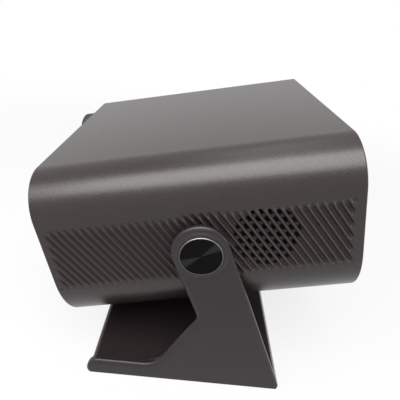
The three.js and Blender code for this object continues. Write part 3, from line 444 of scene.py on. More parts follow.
def carve(piece, tool, how="DIFFERENCE"):
    carving = piece.modifiers.new("carving", "BOOLEAN")
    carving.object = tool
    carving.operation = how
    carving.solver = "MANIFOLD"
    applyModifiers(piece)
    bpy.data.objects.remove(tool)


# Smooth faces with crisp edges above an angle, flat faces kept flat, then a place on a body
def finishPiece(piece, materials, body, nodes, sharpAngle=32):
    kept = [0] * len(piece.data.polygons)
    piece.data.polygons.foreach_get("material_index", kept)
    piece.data.materials.clear()
    for material in materials:
        piece.data.materials.append(material)
    if len(materials) > 1:
        piece.data.polygons.foreach_set("material_index", kept)
    piece.data.shade_smooth()
    piece.data.set_sharp_from_angle(angle=math.radians(sharpAngle))
    even = piece.modifiers.new("even", "WEIGHTED_NORMAL")
    even.keep_sharp = True
    applyModifiers(piece)
    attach(piece, body)
    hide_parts(*nodes)


# Housing sleeve: a moulded tube, rounded at its two lips, with grooves pressed into each side
housing = {
    "width": 215, "depth": 185, "above": 52, "below": 58, "topFillet": 25.5, "bottomFillet": 43,
    "wall": 2.8, "lipRound": 0.9, "innerRound": 0.4, "filletSteps": 32,
}
grooves = {
    "top": 24.2, "bottom": -21.0, "frontMargin": 2.2, "backMargin": 5.6, "depth": 1.3, "angle": 60,
    "pitch": 4,
    "topRunOut": 9.5, "endRunOut": 6.5, "runOutSteps": 10, "runOutCurve": 1.3,
    "flank": ((0.62, 1.3), (0.82, 1.25), (0.95, 1.1), (1.38, 0.3), (1.48, 0.19), (1.6, 0.1), (1.74, 0.03),
              (1.9, 0)),
    "padRadius": 14, "boreRadius": 5,
}
patch = {
    "radius": 19.5, "behind": 38.3, "above": 3.4, "slotLength": 4.0, "slotWidth": 1.9, "slotPitch": 6.2,
    "leadIn": 0.35,
    "thinning": 0.7, "thinRadius": 18.2,
}
halfWidth = housing["width"] / 2
frontY, backY = -housing["depth"] / 2, housing["depth"] / 2
innerSide = halfWidth - housing["wall"]
ridgeAlong = Vector((math.cos(math.radians(grooves["angle"])), -math.sin(math.radians(grooves["angle"]))))
ridgeAcross = Vector((math.sin(math.radians(grooves["angle"])), math.cos(math.radians(grooves["angle"]))))
patchCentre = Vector((patch["behind"], patch["above"]))


def housingLoop(inset):
    half = halfWidth - inset
    top, bottom = housing["above"] - inset, inset - housing["below"]
    topRound, bottomRound = housing["topFillet"] - inset, housing["bottomFillet"] - inset
    return roundedLoop([(half, bottom, bottomRound), (half, top, topRound), (-half, top, topRound),
                        (-half, bottom, bottomRound)], housing["filletSteps"])


def sleeveBody():
    lip = edgeSteps(housing["lipRound"], 5)
    inner = edgeSteps(housing["innerRound"], 2)
    front = [(housing["wall"] - inset, frontY + along) for inset, along in reversed(inner)]
    front += [(inset, frontY + along) for inset, along in lip]
    back = [(inset, -y) for inset, y in reversed(front)]
    mesh = bmesh.new()
    rings = [[(point.x, y, point.y) for point in housingLoop(inset)] for inset, y in front + back]
    loftRings(mesh, rings, closed=True)
    return newObject("housing_shell", mesh, tiltAxes)


# How far the side has curved in towards the bottom at one height
def filletDrop(z):
    down = housing["bottomFillet"] - housing["below"] - z
    if down <= 0:
        return 0
    return housing["bottomFillet"] - math.sqrt(housing["bottomFillet"] ** 2 - down ** 2)


def grooveTools(sign):
    mesh = bmesh.new()
    sine = -ridgeAlong.y
    outline = [(across, -depth) for across, depth in grooves["flank"]]
    edge = grooves["flank"][-1][0] + 0.06
    outline += [(edge, 0.1), (edge, reach / 2)]
    outline += [(-across, depth) for across, depth in reversed(outline)]
    count = math.ceil(housing["depth"] / grooves["pitch"])
    for k in range(-count, count):
        middle = (k + 0.5) * grooves["pitch"]
        level = patchCentre.y + ridgeAcross.y * middle
        start, end = (level - grooves["top"]) / sine, (level - grooves["bottom"]) / sine
        frontLine = frontY + grooves["frontMargin"] - patchCentre.x - ridgeAcross.x * middle
        backLine = backY - grooves["backMargin"] - patchCentre.x - ridgeAcross.x * middle
        start, end = max(start, frontLine / ridgeAlong.x), min(end, backLine / ridgeAlong.x)
        share = min((end - start) / (grooves["topRunOut"] + grooves["endRunOut"]), 1)
        if end - start < 3:
            continue
        stations = []
        for part in range(grooves["runOutSteps"] + 1):
            step = part / grooves["runOutSteps"] * 0.98
            full = math.sin(math.pi / 2 * step) ** grooves["runOutCurve"] * math.sqrt(share)
            stations.append((start + step * share * grooves["topRunOut"],
                             end - step * share * grooves["endRunOut"], full))
        stations = [(head, full) for head, tail, full in stations] + [
            (tail, full) for head, tail, full in reversed(stations)]
        rings = []
        for along, full in stations:
            ring = []
            for across, depth in outline:
                spot = patchCentre + ridgeAlong * along + ridgeAcross * (middle + across)
                lifted = depth * full + hair * (1 - full) if depth < 0.1 else depth
                ring.append((sign * (halfWidth - filletDrop(spot.y) + lifted), spot.x, spot.y))
            rings.append(ring)
        loftRings(mesh, rings)
    tools = newObject("groove_tools", mesh, tiltAxes)
    pad = bmesh.new()
    turnPiece(pad, [(0, sign * (halfWidth - reach)), (grooves["padRadius"], sign * (halfWidth - reach)),
                    (grooves["padRadius"], sign * (halfWidth + reach)), (0, sign * (halfWidth + reach))], 72)
    carve(tools, newObject("pad_tool", pad, tiltAxes @ alongX))
    bore = bmesh.new()
    turnPiece(bore, rodProfile(grooves["boreRadius"], sign * (innerSide - reach), sign * (halfWidth + reach)),
              48)
    carve(tools, newObject("bore_tool", bore, tiltAxes @ alongX), "UNION")
    return tools


def slotTools(sign):
    mesh = bmesh.new()
    long, wide = patch["slotLength"], patch["slotWidth"]
    loop = rectangleLoop(wide, long, wide / 2 - hair, 5)
    lean = Matrix.Rotation(math.radians(90 - grooves["angle"]), 2)
    rows = math.ceil(patch["radius"] / patch["slotPitch"]) + 1
    lanes = math.ceil(patch["radius"] / grooves["pitch"])
    for lane in range(-lanes, lanes):
        for row in range(-rows, rows + 1):
            along = (row + abs(lane) % 2 / 2) * patch["slotPitch"]
            spot = patchCentre + ridgeAlong * along + ridgeAcross * (lane + 0.5) * grooves["pitch"]
            if (spot - patchCentre).length > patch["radius"] + 0.4:
                continue
            floor = halfWidth - grooves["depth"]
            rings = []
            for x, longer in ((innerSide - reach, 0), (floor - 0.5, 0), (floor + hair, patch["leadIn"]),
                              (halfWidth + reach, patch["leadIn"])):
                turned = [lean @ Vector((point.x, point.y + math.copysign(longer,
                                                                          point.y))) for point in loop]
                rings.append([(sign * x, spot.x + point.x, spot.y + point.y) for point in turned])
            loftRings(mesh, rings)
    tools = newObject("slot_tools", mesh, tiltAxes)
    disc = bmesh.new()
    patchAxes = tiltAxes @ Matrix.Translation((0, patchCentre.x, patchCentre.y)) @ alongX
    ends = (sign * (innerSide - 2 * reach), sign * (halfWidth + 2 * reach))
    turnPiece(disc, rodProfile(patch["radius"], *ends), 72)
    carve(tools, newObject("patch_tool", disc, patchAxes), "INTERSECT")
    thin = bmesh.new()
    ends = (sign * (innerSide - reach), sign * (innerSide + patch["thinning"]))
    turnPiece(thin, rodProfile(patch["thinRadius"], *ends), 72)
    carve(tools, newObject("thin_tool", thin, patchAxes), "UNION")
    return tools


# How deep each point of the ridged panels lies, from 0 at the outside to 1 at the bottom of a groove; it steers
# the painted shade in the grooves
def markRecess(shell):
    layer = shell.data.attributes.new("recess", "FLOAT", "POINT")
    back = tiltAxes.inverted()
    for vertex in shell.data.vertices:
        here = back @ vertex.co
        if not grooves["bottom"] - 1 < here.z < grooves["top"] + 1 or abs(here.x) < innerSide - 1:
            continue
        outside = halfWidth - filletDrop(here.z)
        layer.data[vertex.index].value = min(max((outside - abs(here.x)) / grooves["depth"], 0), 1)


def makeHousing():
    shell = sleeveBody()
    for sign in (1, -1):
        carve(shell, grooveTools(sign))
        carve(shell, slotTools(sign))
    finishPiece(shell, [housingPlastic], "projector", ["housing_sleeve"], 38)
    markRecess(shell)


makeHousing()
print("housing ready")

# Stand: base tray and both arms in one moulding, measured from the tilt axis
stand = {
    "pivotHeight": 103, "front": 65.7, "baseHeight": 11.3, "noseRadius": 8.2, "lean": 24.7,
    "headRadius": 16.9,
    "headRise": 1.3,
    "kneeDrop": 48.6, "kneeRadius": 9, "braceAngle": 60.6, "braceRadius": 14, "sideGap": 1.4,
    "armThickness": 5.6,
    "outerRound": (3.8, 2.0), "innerRound": (1.8, 2.8), "faceDrop": 0.3, "footShare": 0.05, "skin": 2.6,
    "rim": 0.3,
    "flare": 1.1, "flareFrom": -25, "rimWall": 3, "rootRadius": 5, "slabSetback": 3.2, "slabNose": 3.5,
    "toeRadius": 2.4, "heelRadius": 1.8, "bushBore": 7.3, "headBore": 9.9, "headFloor": 2.2,
}
boss = {"radius": 4, "inset": 13}
cover = {"recess": 1.2, "thickness": 1.8, "round": 0.3}
collar = {"baseRadius": 16.2, "topRadius": 13.3, "height": 0.8}
cap = {"radius": 12.6, "thickness": 1.3, "proud": 0.5, "ringWidth": 0.55, "flat": 0.24, "dish": 0.35}
armInner = halfWidth + stand["sideGap"]
armOuter = armInner + stand["armThickness"]
lean = math.radians(stand["lean"])
baseTop = stand["baseHeight"] - stand["pivotHeight"]
baseBottom = stand["rim"] - stand["pivotHeight"]


def backEdge(z):
    return (stand["headRadius"] - z * math.sin(lean)) / math.cos(lean)


def frontEdge(z):
    return (-stand["headRadius"] - z * math.sin(lean)) / math.cos(lean)


knee = (frontEdge(-stand["kneeDrop"]), -stand["kneeDrop"])
braceFoot = knee[0] - (knee[1] - baseTop) / math.tan(math.radians(stand["braceAngle"]))
heel = (backEdge(baseBottom), baseBottom, stand["heelRadius"])
tray = {"x": armOuter - stand["rimWall"], "front": -stand["front"] + stand["noseRadius"],
        "back": backEdge(baseTop) - stand["rimWall"]}
coverBottom = baseBottom + cover["recess"]
coverTop = coverBottom + cover["thickness"]
bossPlaces = [(sign * (tray["x"] - boss["inset"]), y) for sign in (-1, 1)
              for y in (tray["front"] + boss["inset"], tray["back"] - boss["inset"])]


# The arm's outline, moved inwards by one distance, and by a share of it along the bottom
def armLoop(inset):
    radius = stand["headRadius"] - inset
    brace = math.radians(stand["braceAngle"])
    low, top = baseBottom + inset * stand["footShare"], baseTop - inset
    moved = knee[0] + inset / math.sin(brace)
    kneeZ = (knee[1] / math.tan(brace) - radius / math.cos(lean) - moved) / (
        math.tan(lean) + 1 / math.tan(brace))
    kneeY = (-radius - kneeZ * math.sin(lean)) / math.cos(lean)
    headY, headZ = -stand["headRise"] * math.sin(lean), stand["headRise"] * math.cos(lean)
    head = [(headY + radius * math.cos(lean + math.pi * k / 48),
             headZ + radius * math.sin(lean + math.pi * k / 48))
            for k in range(49)]
    toeRadius, heelRadius = max(stand["toeRadius"] - inset, 0.05), max(stand["heelRadius"] - inset, 0.05)
    noseRadius = min(stand["noseRadius"] - inset, top - low - toeRadius - hair)
    return roundedLoop([((radius - low * math.sin(lean)) / math.cos(lean), low, heelRadius)] + head + [
        (kneeY, kneeZ, stand["kneeRadius"] + inset),
        (moved + (top - knee[1]) / math.tan(brace), top, stand["braceRadius"] + inset),
        (-stand["front"] + inset, top, noseRadius), (-stand["front"] + inset, low, toeRadius)], 10)


def collarProfile(side):
    foot, crest = armOuter - stand["faceDrop"] - 0.05, armOuter + collar["height"]
    slope = []
    for k in range(11):
        share = k / 10
        slope.append((collar["baseRadius"] + (collar["topRadius"] - collar["baseRadius"]) * share,
                      foot + (crest - foot) * (0.5 - 0.5 * math.cos(math.pi * share))))
    return [(radius, side * along) for radius, along in [
        (0, armOuter - 2.5), (collar["baseRadius"], armOuter - 2.5)] + slope + [(cap["radius"] - 1, crest),
                                                                                (0, crest)]]


def trayLoop(inset):
    x, front, back = tray["x"] - inset, tray["front"] + inset, tray["back"] - inset
    return roundedLoop([(x, front, 2), (x, back, 2), (-x, back, 2), (-x, front, 2)], 4)


def makeStand():
    mesh = bmesh.new()
    slabFront = stand["slabSetback"] - stand["front"]
    slab = roundedLoop([heel, (backEdge(baseTop), baseTop, 1.2), (slabFront, baseTop, stand["slabNose"]),
                        (slabFront, baseBottom, stand["toeRadius"])], 10)
    platePiece(mesh, slab, -armInner - 3, armInner + 3, axis="x")
    frameBody = newObject("stand_body", mesh, standAxes)
    for sign in (1, -1):
        arm = bmesh.new()
        ends = [sign * armInner, sign * (armOuter - stand["faceDrop"])]
        rounds = [stand["innerRound"], stand["outerRound"]]
        if sign < 0:
            ends, rounds = ends[::-1], rounds[::-1]
        platePiece(arm, armLoop, ends[0], ends[1], rounds[0], rounds[1], axis="x")
        for corner in arm.verts:
            if abs(corner.co.x) > armInner + 2.5:
                down = max(stand["flareFrom"] - corner.co.z, 0) / (stand["flareFrom"] - baseBottom)
                corner.co.x += sign * stand["flare"] * down ** 1.5
        carve(frameBody, newObject("arm_tool", arm, standAxes), "UNION")
        root = bmesh.new()
        r = stand["rootRadius"]
        corner = [(armInner + 0.5, baseTop - 0.5), (armInner + 0.5, baseTop + r + 0.01),
                  (armInner, baseTop + r + 0.01)]
        corner += [(armInner - r + r * math.sin(math.pi / 2 * k / 8),
                    baseTop + r - r * math.cos(math.pi / 2 * k / 8))
                   for k in range(8, -1, -1)]
        corner += [(armInner - r, baseTop - 0.5)]
        loop = [Vector((sign * a, b)) for a, b in corner]
        platePiece(root, loop if sign > 0 else loop[::-1], braceFoot + 4, backEdge(baseTop) - r)
        carve(frameBody, newObject("root_tool", root, standAxes), "UNION")
        cone = bmesh.new()
        turnPiece(cone, collarProfile(sign), 128)
        carve(frameBody, newObject("collar_tool", cone, standAxes @ alongX), "UNION")
        bore = bmesh.new()
        bushBore, headBore, capBore = stand["bushBore"], stand["headBore"], cap["radius"] + 0.15
        headFloor, capFloor, outside = armInner + stand["headFloor"], armOuter - gap, armOuter + reach
        turnPiece(bore, [(radius, sign * along) for radius, along in (
            (0, armInner - reach), (bushBore, armInner - reach), (bushBore, headFloor), (headBore, headFloor),
            (headBore, capFloor), (capBore, capFloor), (capBore, outside), (0, outside))], 128)
        carve(frameBody, newObject("bore_tool", bore, standAxes @ alongX))
    hollow = bmesh.new()
    platePiece(hollow, trayLoop(0), baseBottom - reach, baseTop - stand["skin"], axis="z")
    carve(frameBody, newObject("tray_tool", hollow, standAxes))
    for x, y in bossPlaces:
        post = bmesh.new()
        turnPiece(post, rodProfile(boss["radius"], coverTop + gap, baseTop - stand["skin"] + gap), 32)
        carve(frameBody, newObject("boss_tool", post, standAxes @ Matrix.Translation((x, y, 0)) @ alongZ),
              "UNION")
    finishPiece(frameBody, [standPlastic], "stand", ["stand_frame"], 34)


makeStand()
print("stand ready")

# Pivot caps: a spun black disc with a bright cut ring
for side, sign in (("left", 1), ("right", -1)):
    mesh = bmesh.new()
    face = armOuter + collar["height"] + cap["proud"]
    seat = face - cap["thickness"]
    inner = cap["radius"] - cap["ringWidth"]
    profile = [(0, seat), (cap["radius"], seat), (cap["radius"], face - 0.35), (inner + cap["flat"], face),
               (inner, face - 0.03),
               (inner - 0.15, face - 0.25), (inner * 0.5, face - 0.25 - cap["dish"] * 0.6),
               (0, face - 0.25 - cap["dish"])]
    bands = turnPiece(mesh, [(radius, sign * along) for radius, along in profile], 128)
    for band in (2, 3):
        for facet in bands[band]:
            facet.material_index = 1
    disc = newObject(f"pivot_disc_{side}", mesh, standAxes @ alongX)
    finishPiece(disc, [spunBlack, cutEdge], "stand", [f"pivot_cap_{side}"], 25)
print("caps ready")

# Front panel: a plate set into the sleeve, with a seat for the lens ring and a bore for the receiver's window
lensPlace = (-69, 16.5)
endPanel = {"recess": 1.5, "thickness": 3, "round": 0.5, "edgeGap": 0.3}
lensSeat = {"radius": 31.2, "depth": 0.6, "bore": 25.8, "chamfer": 0.5}
receiver = {"place": (22, 6), "radius": 5, "lip": 1, "thickness": 2.4, "dome": 0.5}
frontFace, rearFace = frontY + endPanel["recess"], backY - endPanel["recess"]
rearInner = rearFace - endPanel["thickness"]


# A cutting shape for an opening in a plate, with a chamfered rim at the outer face
def openingTool(mesh, loop, inner, outer, chamfer, centre=(0, 0)):
    way = 1 if outer > inner else -1
    levels = [(0, inner - way * reach), (0, outer - way * chamfer), (-chamfer, outer),
              (-chamfer, outer + way * reach)]
    rings = []
    for inset, along in levels:
        ring = insetLoop(loop, inset) if inset else loop
        rings.append([(point.x + centre[0], along, point.y + centre[1]) for point in ring])
    loftRings(mesh, rings)


def circleLoop(radius, steps=48):
    return [Vector((radius * math.cos(2 * math.pi * k / steps), radius * math.sin(2 * math.pi * k / steps)))
            for k in range(steps)]


def panelPlate(name, near, far, nearRound, farRound):
    mesh = bmesh.new()
    platePiece(mesh, housingLoop(housing["wall"] + endPanel["edgeGap"]), near, far, nearRound, farRound)
    return newObject(name, mesh, tiltAxes)


def makeFrontPanel():
    plate = panelPlate("front_plate", frontFace, frontFace + endPanel["thickness"], endPanel["round"], 0.2)
    tools = bmesh.new()
    openingTool(tools, circleLoop(lensSeat["bore"], 96), frontFace + endPanel["thickness"], frontFace,
                lensSeat["chamfer"], lensPlace)
    openingTool(tools, circleLoop(receiver["radius"] + 0.2), frontFace + 7.0 + receiver["lip"], frontFace,
                0.25,
                receiver["place"])
    carve(plate, newObject("front_tools", tools, tiltAxes))
    seat = bmesh.new()
    turnPiece(seat, rodProfile(lensSeat["radius"], frontFace + lensSeat["depth"], frontFace - reach), 128,
              lensPlace)
    carve(plate, newObject("seat_tool", seat, tiltAxes))
    finishPiece(plate, [panelPlastic], "projector", ["front_panel"])
    window = bmesh.new()
    radius, face = receiver["radius"], frontFace - 0.3
    dome = [(radius * math.sin(math.radians(angle)) / math.sin(math.radians(40)),
             face - receiver["dome"] + receiver["dome"] * (1 - math.cos(math.radians(angle))) / (
                 1 - math.cos(math.radians(40)))) for angle in range(0, 41, 5)]
    turnPiece(window, dome + [(radius, frontFace + 0.7), (radius - 1.3, frontFace + 0.7),
                              (radius - 1.3, frontFace + receiver["thickness"]),
                              (0, frontFace + receiver["thickness"])], 64, receiver["place"])
    piece = newObject("receiver_window", window, tiltAxes)
    finishPiece(piece, [redWindow], "projector", ["ir_window"])


makeFrontPanel()

# Focus ring: moulded grips with soft flutes, a chamfered front rim and a smooth bore
focusRing = {
    "front": -109.1, "back": -91.3, "radius": 30, "flutes": 24, "fluteDepth": 0.8, "fluteShare": 0.42,
    "lip": 2.2,
    "lipRadius": 24.2, "bore": 25.9, "chamfer": 1.2, "stepsPerFlute": 14,
}


def makeFocusRing():
    ring = focusRing
    front, back, radius, chamfer = ring["front"], ring["back"], ring["radius"], ring["chamfer"]
    bevel = 0.25
    # (radius, along, share of the flute's depth)
    outline = [
        (ring["lipRadius"], front + bevel, 0), (ring["lipRadius"] + bevel, front, 0),
        (radius - chamfer - 0.5, front, 0), (radius - chamfer, front + 0.12, 0),
        (radius - 0.3, front + chamfer - 0.3, 0),
        (radius, front + chamfer + 0.2, 0), (radius, front + 2.0, 0), (radius, front + 2.5, 0.15),
        (radius, front + 3.2, 0.75), (radius, front + 4.0, 1), (radius, back - 2.9, 1),
        (radius, back - 2.1, 0.75),
        (radius, back - 1.4, 0.15), (radius, back - 0.9, 0), (radius, back - 0.3, 0), (radius - 0.3, back, 0),
        (ring["bore"] + bevel, back, 0), (ring["bore"], back - bevel, 0),
        (ring["bore"], front + ring["lip"], 0),
        (ring["lipRadius"], front + ring["lip"], 0),
    ]
    steps = ring["flutes"] * ring["stepsPerFlute"]
    mesh = bmesh.new()
    rows = []
    for r, along, share in outline:
        row = []
        for k in range(steps):
            angle = 2 * math.pi * k / steps
            inFlute = abs((k / ring["stepsPerFlute"]) % 1 - 0.5) / (ring["fluteShare"] / 2)
            dip = 0.5 + 0.5 * math.cos(math.pi * min(inFlute, 1))
            here = r - ring["fluteDepth"] * share * dip
            row.append((lensPlace[0] + here * math.cos(angle), along, lensPlace[1] + here * math.sin(angle)))
        rows.append(row)
    loftRings(mesh, rows, closed=True)
    piece = newObject("focus_grip", mesh, tiltAxes)
    finishPiece(piece, [panelPlastic], "focus_control", ["focus_ring"])


makeFocusRing()

# Lens tube, sliding cell and the two glasses, all turned about the lens axis
barrel = {
    "tubeRadius": 25.5, "tubeBore": 22.7, "tubeFront": -105.9, "tubeBack": -47.5, "flangeRadius": 31,
    "flange": 3,
    "cellRadius": 22.4, "cellBore": 20.4, "cellFront": -102.9, "cellBack": -62.9, "cellLip": 1.4,
    "cellLipDepth": 1.6,
}
glasses = {"radius": 20.1, "clear": 18.4, "frontAt": -101.0, "rearAt": -68.3, "edge": 3, "frontBulge": 3.4,
           "rearBulge": 2.4}


def turnedPart(name, corners, material, body, node, rounding=0.2):
    mesh = bmesh.new()
    turnPiece(mesh, profileLoop([(radius, along, rounding) for radius, along in corners], 3), 128, lensPlace)
    finishPiece(newObject(name, mesh, tiltAxes), [material], body, [node])


def makeBarrel():
    b = barrel
    flangeStart = b["tubeBack"] - b["flange"]
    turnedPart("lens_barrel", [
        (b["tubeBore"], b["tubeFront"]), (b["tubeRadius"], b["tubeFront"]), (b["tubeRadius"], flangeStart),
        (b["flangeRadius"], flangeStart), (b["flangeRadius"], b["tubeBack"]), (b["tubeBore"], b["tubeBack"]),
    ], panelPlastic, "projector", "lens_tube")
    stop = b["cellFront"] + b["cellLipDepth"]
    lip = b["cellBore"] - b["cellLip"]
    mesh = bmesh.new()
    steps = [(lip, stop), (lip, b["cellFront"] + 1.1), (lip + 0.35, b["cellFront"] + 0.7),
             (lip + 0.35, b["cellFront"] + 0.5), (lip + 0.7, b["cellFront"] + 0.2),
             (lip + 1.0, b["cellFront"]),
             (b["cellRadius"] - 0.3, b["cellFront"]), (b["cellRadius"], b["cellFront"] + 0.3),
             (b["cellRadius"], b["cellBack"]), (b["cellBore"], b["cellBack"]), (b["cellBore"], stop)]
    turnPiece(mesh, steps, 128, lensPlace)
    finishPiece(newObject("sliding_cell", mesh, tiltAxes), [panelPlastic], "lens_group",
                ["lens_cell"])
    for name, at, way, bulge, node in (
            ("front_glass", glasses["frontAt"], -1, glasses["frontBulge"], "front_lens"),
            ("rear_glass", glasses["rearAt"] + glasses["edge"], 1, glasses["rearBulge"], "rear_lens")):
        clear = glasses["clear"]
        sphere = (clear * clear + bulge * bulge) / (2 * bulge)
        dome = []
        for k in range(13):
            r = clear * k / 12
            dome.append((r, at + way * (math.sqrt(sphere * sphere - r * r) - (sphere - bulge))))
        lens = bmesh.new()
        turnPiece(lens, dome + [(glasses["radius"], at), (glasses["radius"], at - way * glasses["edge"]),
                                (0, at - way * glasses["edge"])], 128, lensPlace)
        finishPiece(newObject(name, lens, tiltAxes), [coatedGlass], "lens_group", [node], 20)


makeBarrel()
print("front ready")

# Rear panel: exhaust slots before the fan, openings for the sockets, the inlet and the button
fanPlace = (-57, 8.5)
exhaust = {"width": 50, "count": 9, "height": 3, "pitch": 5.6, "radius": 1.45, "chamfer": 0.45}
socketSizes = {
    "hdmi": {"place": (12, -26.8), "width": 14.2, "height": 5, "wall": 0.8, "depth": 13, "tongue": 1.4},
    "usb": {"place": (33, -26.5), "width": 12.8, "height": 5.6, "wall": 0.8, "depth": 14, "tongue": 1.6},
    "audio": {"place": (52, -26.4), "side": 7.4, "bore": 1.8, "depth": 13},
}
inlet = {
    "place": (70, 14), "width": 15.4, "height": 8.8, "wall": 1.8, "depth": 14, "cavity": 11, "pinRadius": 1.2,
    "pinSpacing": 8.6, "pinSetBack": 2, "flange": 2.2, "flangeThickness": 1,
}
button = {"place": (76, -14), "radius": 6.5, "proud": 1.4, "dish": 0.35, "stemRadius": 4.4, "flange": 1.2,
          "flangeHeight": 1.2, "stemEnd": 81.3}
rearScrew = {"headRadius": 3, "headHeight": 1.5, "shankRadius": 1.2, "length": 15, "recess": 1.1}
cornerInset = 5.8  # from the housing's outside to a screw's arc, less the corner's radius
screwPlaces = [(sign * (halfWidth - housing[r] + (housing[r] - cornerInset) * math.sqrt(0.5)), z)
               for sign in (1, -1) for r, z in (
    ("topFillet",
     housing["above"] - housing["topFillet"] + (housing["topFillet"] - cornerInset) * math.sqrt(0.5)),
    ("bottomFillet", -housing["below"] + housing["bottomFillet"] - (
        housing["bottomFillet"] - cornerInset) * math.sqrt(0.5)))]


def makeRearPanel():
    plate = panelPlate("rear_plate", rearInner, rearFace, 0.2, endPanel["round"])
    tools = bmesh.new()
    for k in range(exhaust["count"]):
        z = fanPlace[1] + (k - (exhaust["count"] - 1) / 2) * exhaust["pitch"]
        openingTool(tools, rectangleLoop(exhaust["width"], exhaust["height"], exhaust["radius"], 5),
                    rearInner,
                    rearFace, exhaust["chamfer"], (fanPlace[0], z))
    for name in ("hdmi", "usb"):
        socket = socketSizes[name]
        around = 2 * socket["wall"] + 0.5
        openingTool(tools, rectangleLoop(socket["width"] + around, socket["height"] + around, 0.8, 3),
                    rearInner,
                    rearFace, 0.35, socket["place"])
    side = socketSizes["audio"]["side"] + 0.5
    openingTool(tools, rectangleLoop(side, side, 0.6, 3), rearInner, rearFace, 0.35,
                socketSizes["audio"]["place"])
    around = 2 * inlet["wall"] + 0.5
    openingTool(tools, rectangleLoop(inlet["width"] + around, inlet["height"] + around, 0.6, 3), rearInner,
                rearFace, 0.1, inlet["place"])
    openingTool(tools, circleLoop(button["radius"] + 0.3, 72), rearInner, rearFace, 0.4, button["place"])
    for place in screwPlaces:
        openingTool(tools, circleLoop(rearScrew["headRadius"] + 0.3, 40), rearInner, rearFace, 0.3, place)
    carve(plate, newObject("rear_tools", tools, tiltAxes))
    finishPiece(plate, [panelPlastic], "projector", ["rear_panel"])


# A screw with a domed head and a cross recess, drawn with its head at zero and its shank below
def makeScrew(name, size, axes, body, node):
    mesh = bmesh.new()
    head, height, shank = size["headRadius"], size["headHeight"], size["shankRadius"]
    turnPiece(mesh, [(0, -size["length"]), (shank - 0.4, -size["length"]), (shank, -size["length"] + 0.8),
                     (shank, -height), (head - 0.1, -height), (head, -height + 0.15), (head, -0.55),
                     (head * 0.93, -0.28), (head * 0.75, -0.1), (head * 0.5, -0.02), (0, 0)], 48)
    screw = newObject(name, mesh, axes)
    cross = bmesh.new()
    for a, b in ((head * 0.62, head * 0.13), (head * 0.13, head * 0.62)):
        loop = rectangleLoop(2 * a, 2 * b)
        platePiece(cross, loop, -size["recess"], 1)
        carve(screw, newObject("cross_tool", cross, axes))
        cross = bmesh.new()
    cross.free()
    finishPiece(screw, [zincSteel], body, [node])


def tintFaces(mesh, start, index):
    mesh.faces.ensure_lookup_table()
    for face in mesh.faces[start:]:
        face.material_index = index


# A drawn steel shell round a black tongue with gilt contacts
contactLook = {
    "color": "#c9a24f", "roughness": 0.3, "metallic": 1, "grain": 0.4, "patch": 2,
    "shadeShift": 0.06, "speckle": 0.03, "roughShift": 0.04, "bump": 0.02,
}
giltContacts = mouldedMaterial("goldPlatedContact", contactLook)


def makeSocket(name, contacts):
    socket = socketSizes[name]
    x, z = socket["place"]
    outerWidth, outerHeight = socket["width"] + 2 * socket["wall"], socket["height"] + 2 * socket["wall"]
    front, back = rearFace - socket["depth"], rearFace - gap
    mesh = bmesh.new()
    corner = outerHeight * 0.28
    a, b = outerWidth / 2, outerHeight / 2
    if name == "hdmi":
        loop = roundedLoop([(a - corner, -b, 0.6), (a, -b + corner, 0.6), (a, b, 0.7), (-a, b, 0.7),
                            (-a, -b + corner, 0.6), (-a + corner, -b, 0.6)], 4)
    else:
        loop = rectangleLoop(outerWidth, outerHeight, 0.7, 4)
    inner = insetLoop(loop, socket["wall"] * 0.6)
    deep = front + 1.5
    rings = [[(p.x + x, y, p.y + z) for p in ring] for ring, y in (
        (insetLoop(inner, 0), deep), (inner, back - 0.3), (insetLoop(loop, socket["wall"] * 0.35), back),
        (insetLoop(loop, 0.12), back), (loop, back - 0.15), (loop, front))]
    loftRings(mesh, rings)
    start = len(mesh.faces)
    tongueZ = socket["height"] / 2 - socket["tongue"] / 2 - 0.4
    platePiece(mesh, rectangleLoop(socket["width"] - 2, socket["tongue"], 0.3, 2), front + 1, rearFace - 2.5,
               0, 0.3,
               centre=(x, z + tongueZ - 0.5))
    tintFaces(mesh, start, 1)
    start = len(mesh.faces)
    for k in range(contacts):
        at = x + (k - (contacts - 1) / 2) * (socket["width"] - 4) / (contacts - 1)
        width = 0.45 * (socket["width"] - 4) / (contacts - 1)
        platePiece(mesh, rectangleLoop(width, 0.16), front + 2, rearFace - 3,
                   centre=(at, z + tongueZ - 0.5 - socket["tongue"] / 2 - 0.05))
    tintFaces(mesh, start, 2)
    finishPiece(newObject(f"{name}_port", mesh, tiltAxes), [zincSteel, panelPlastic, giltContacts],
                "projector",
                [f"{name}_socket"])


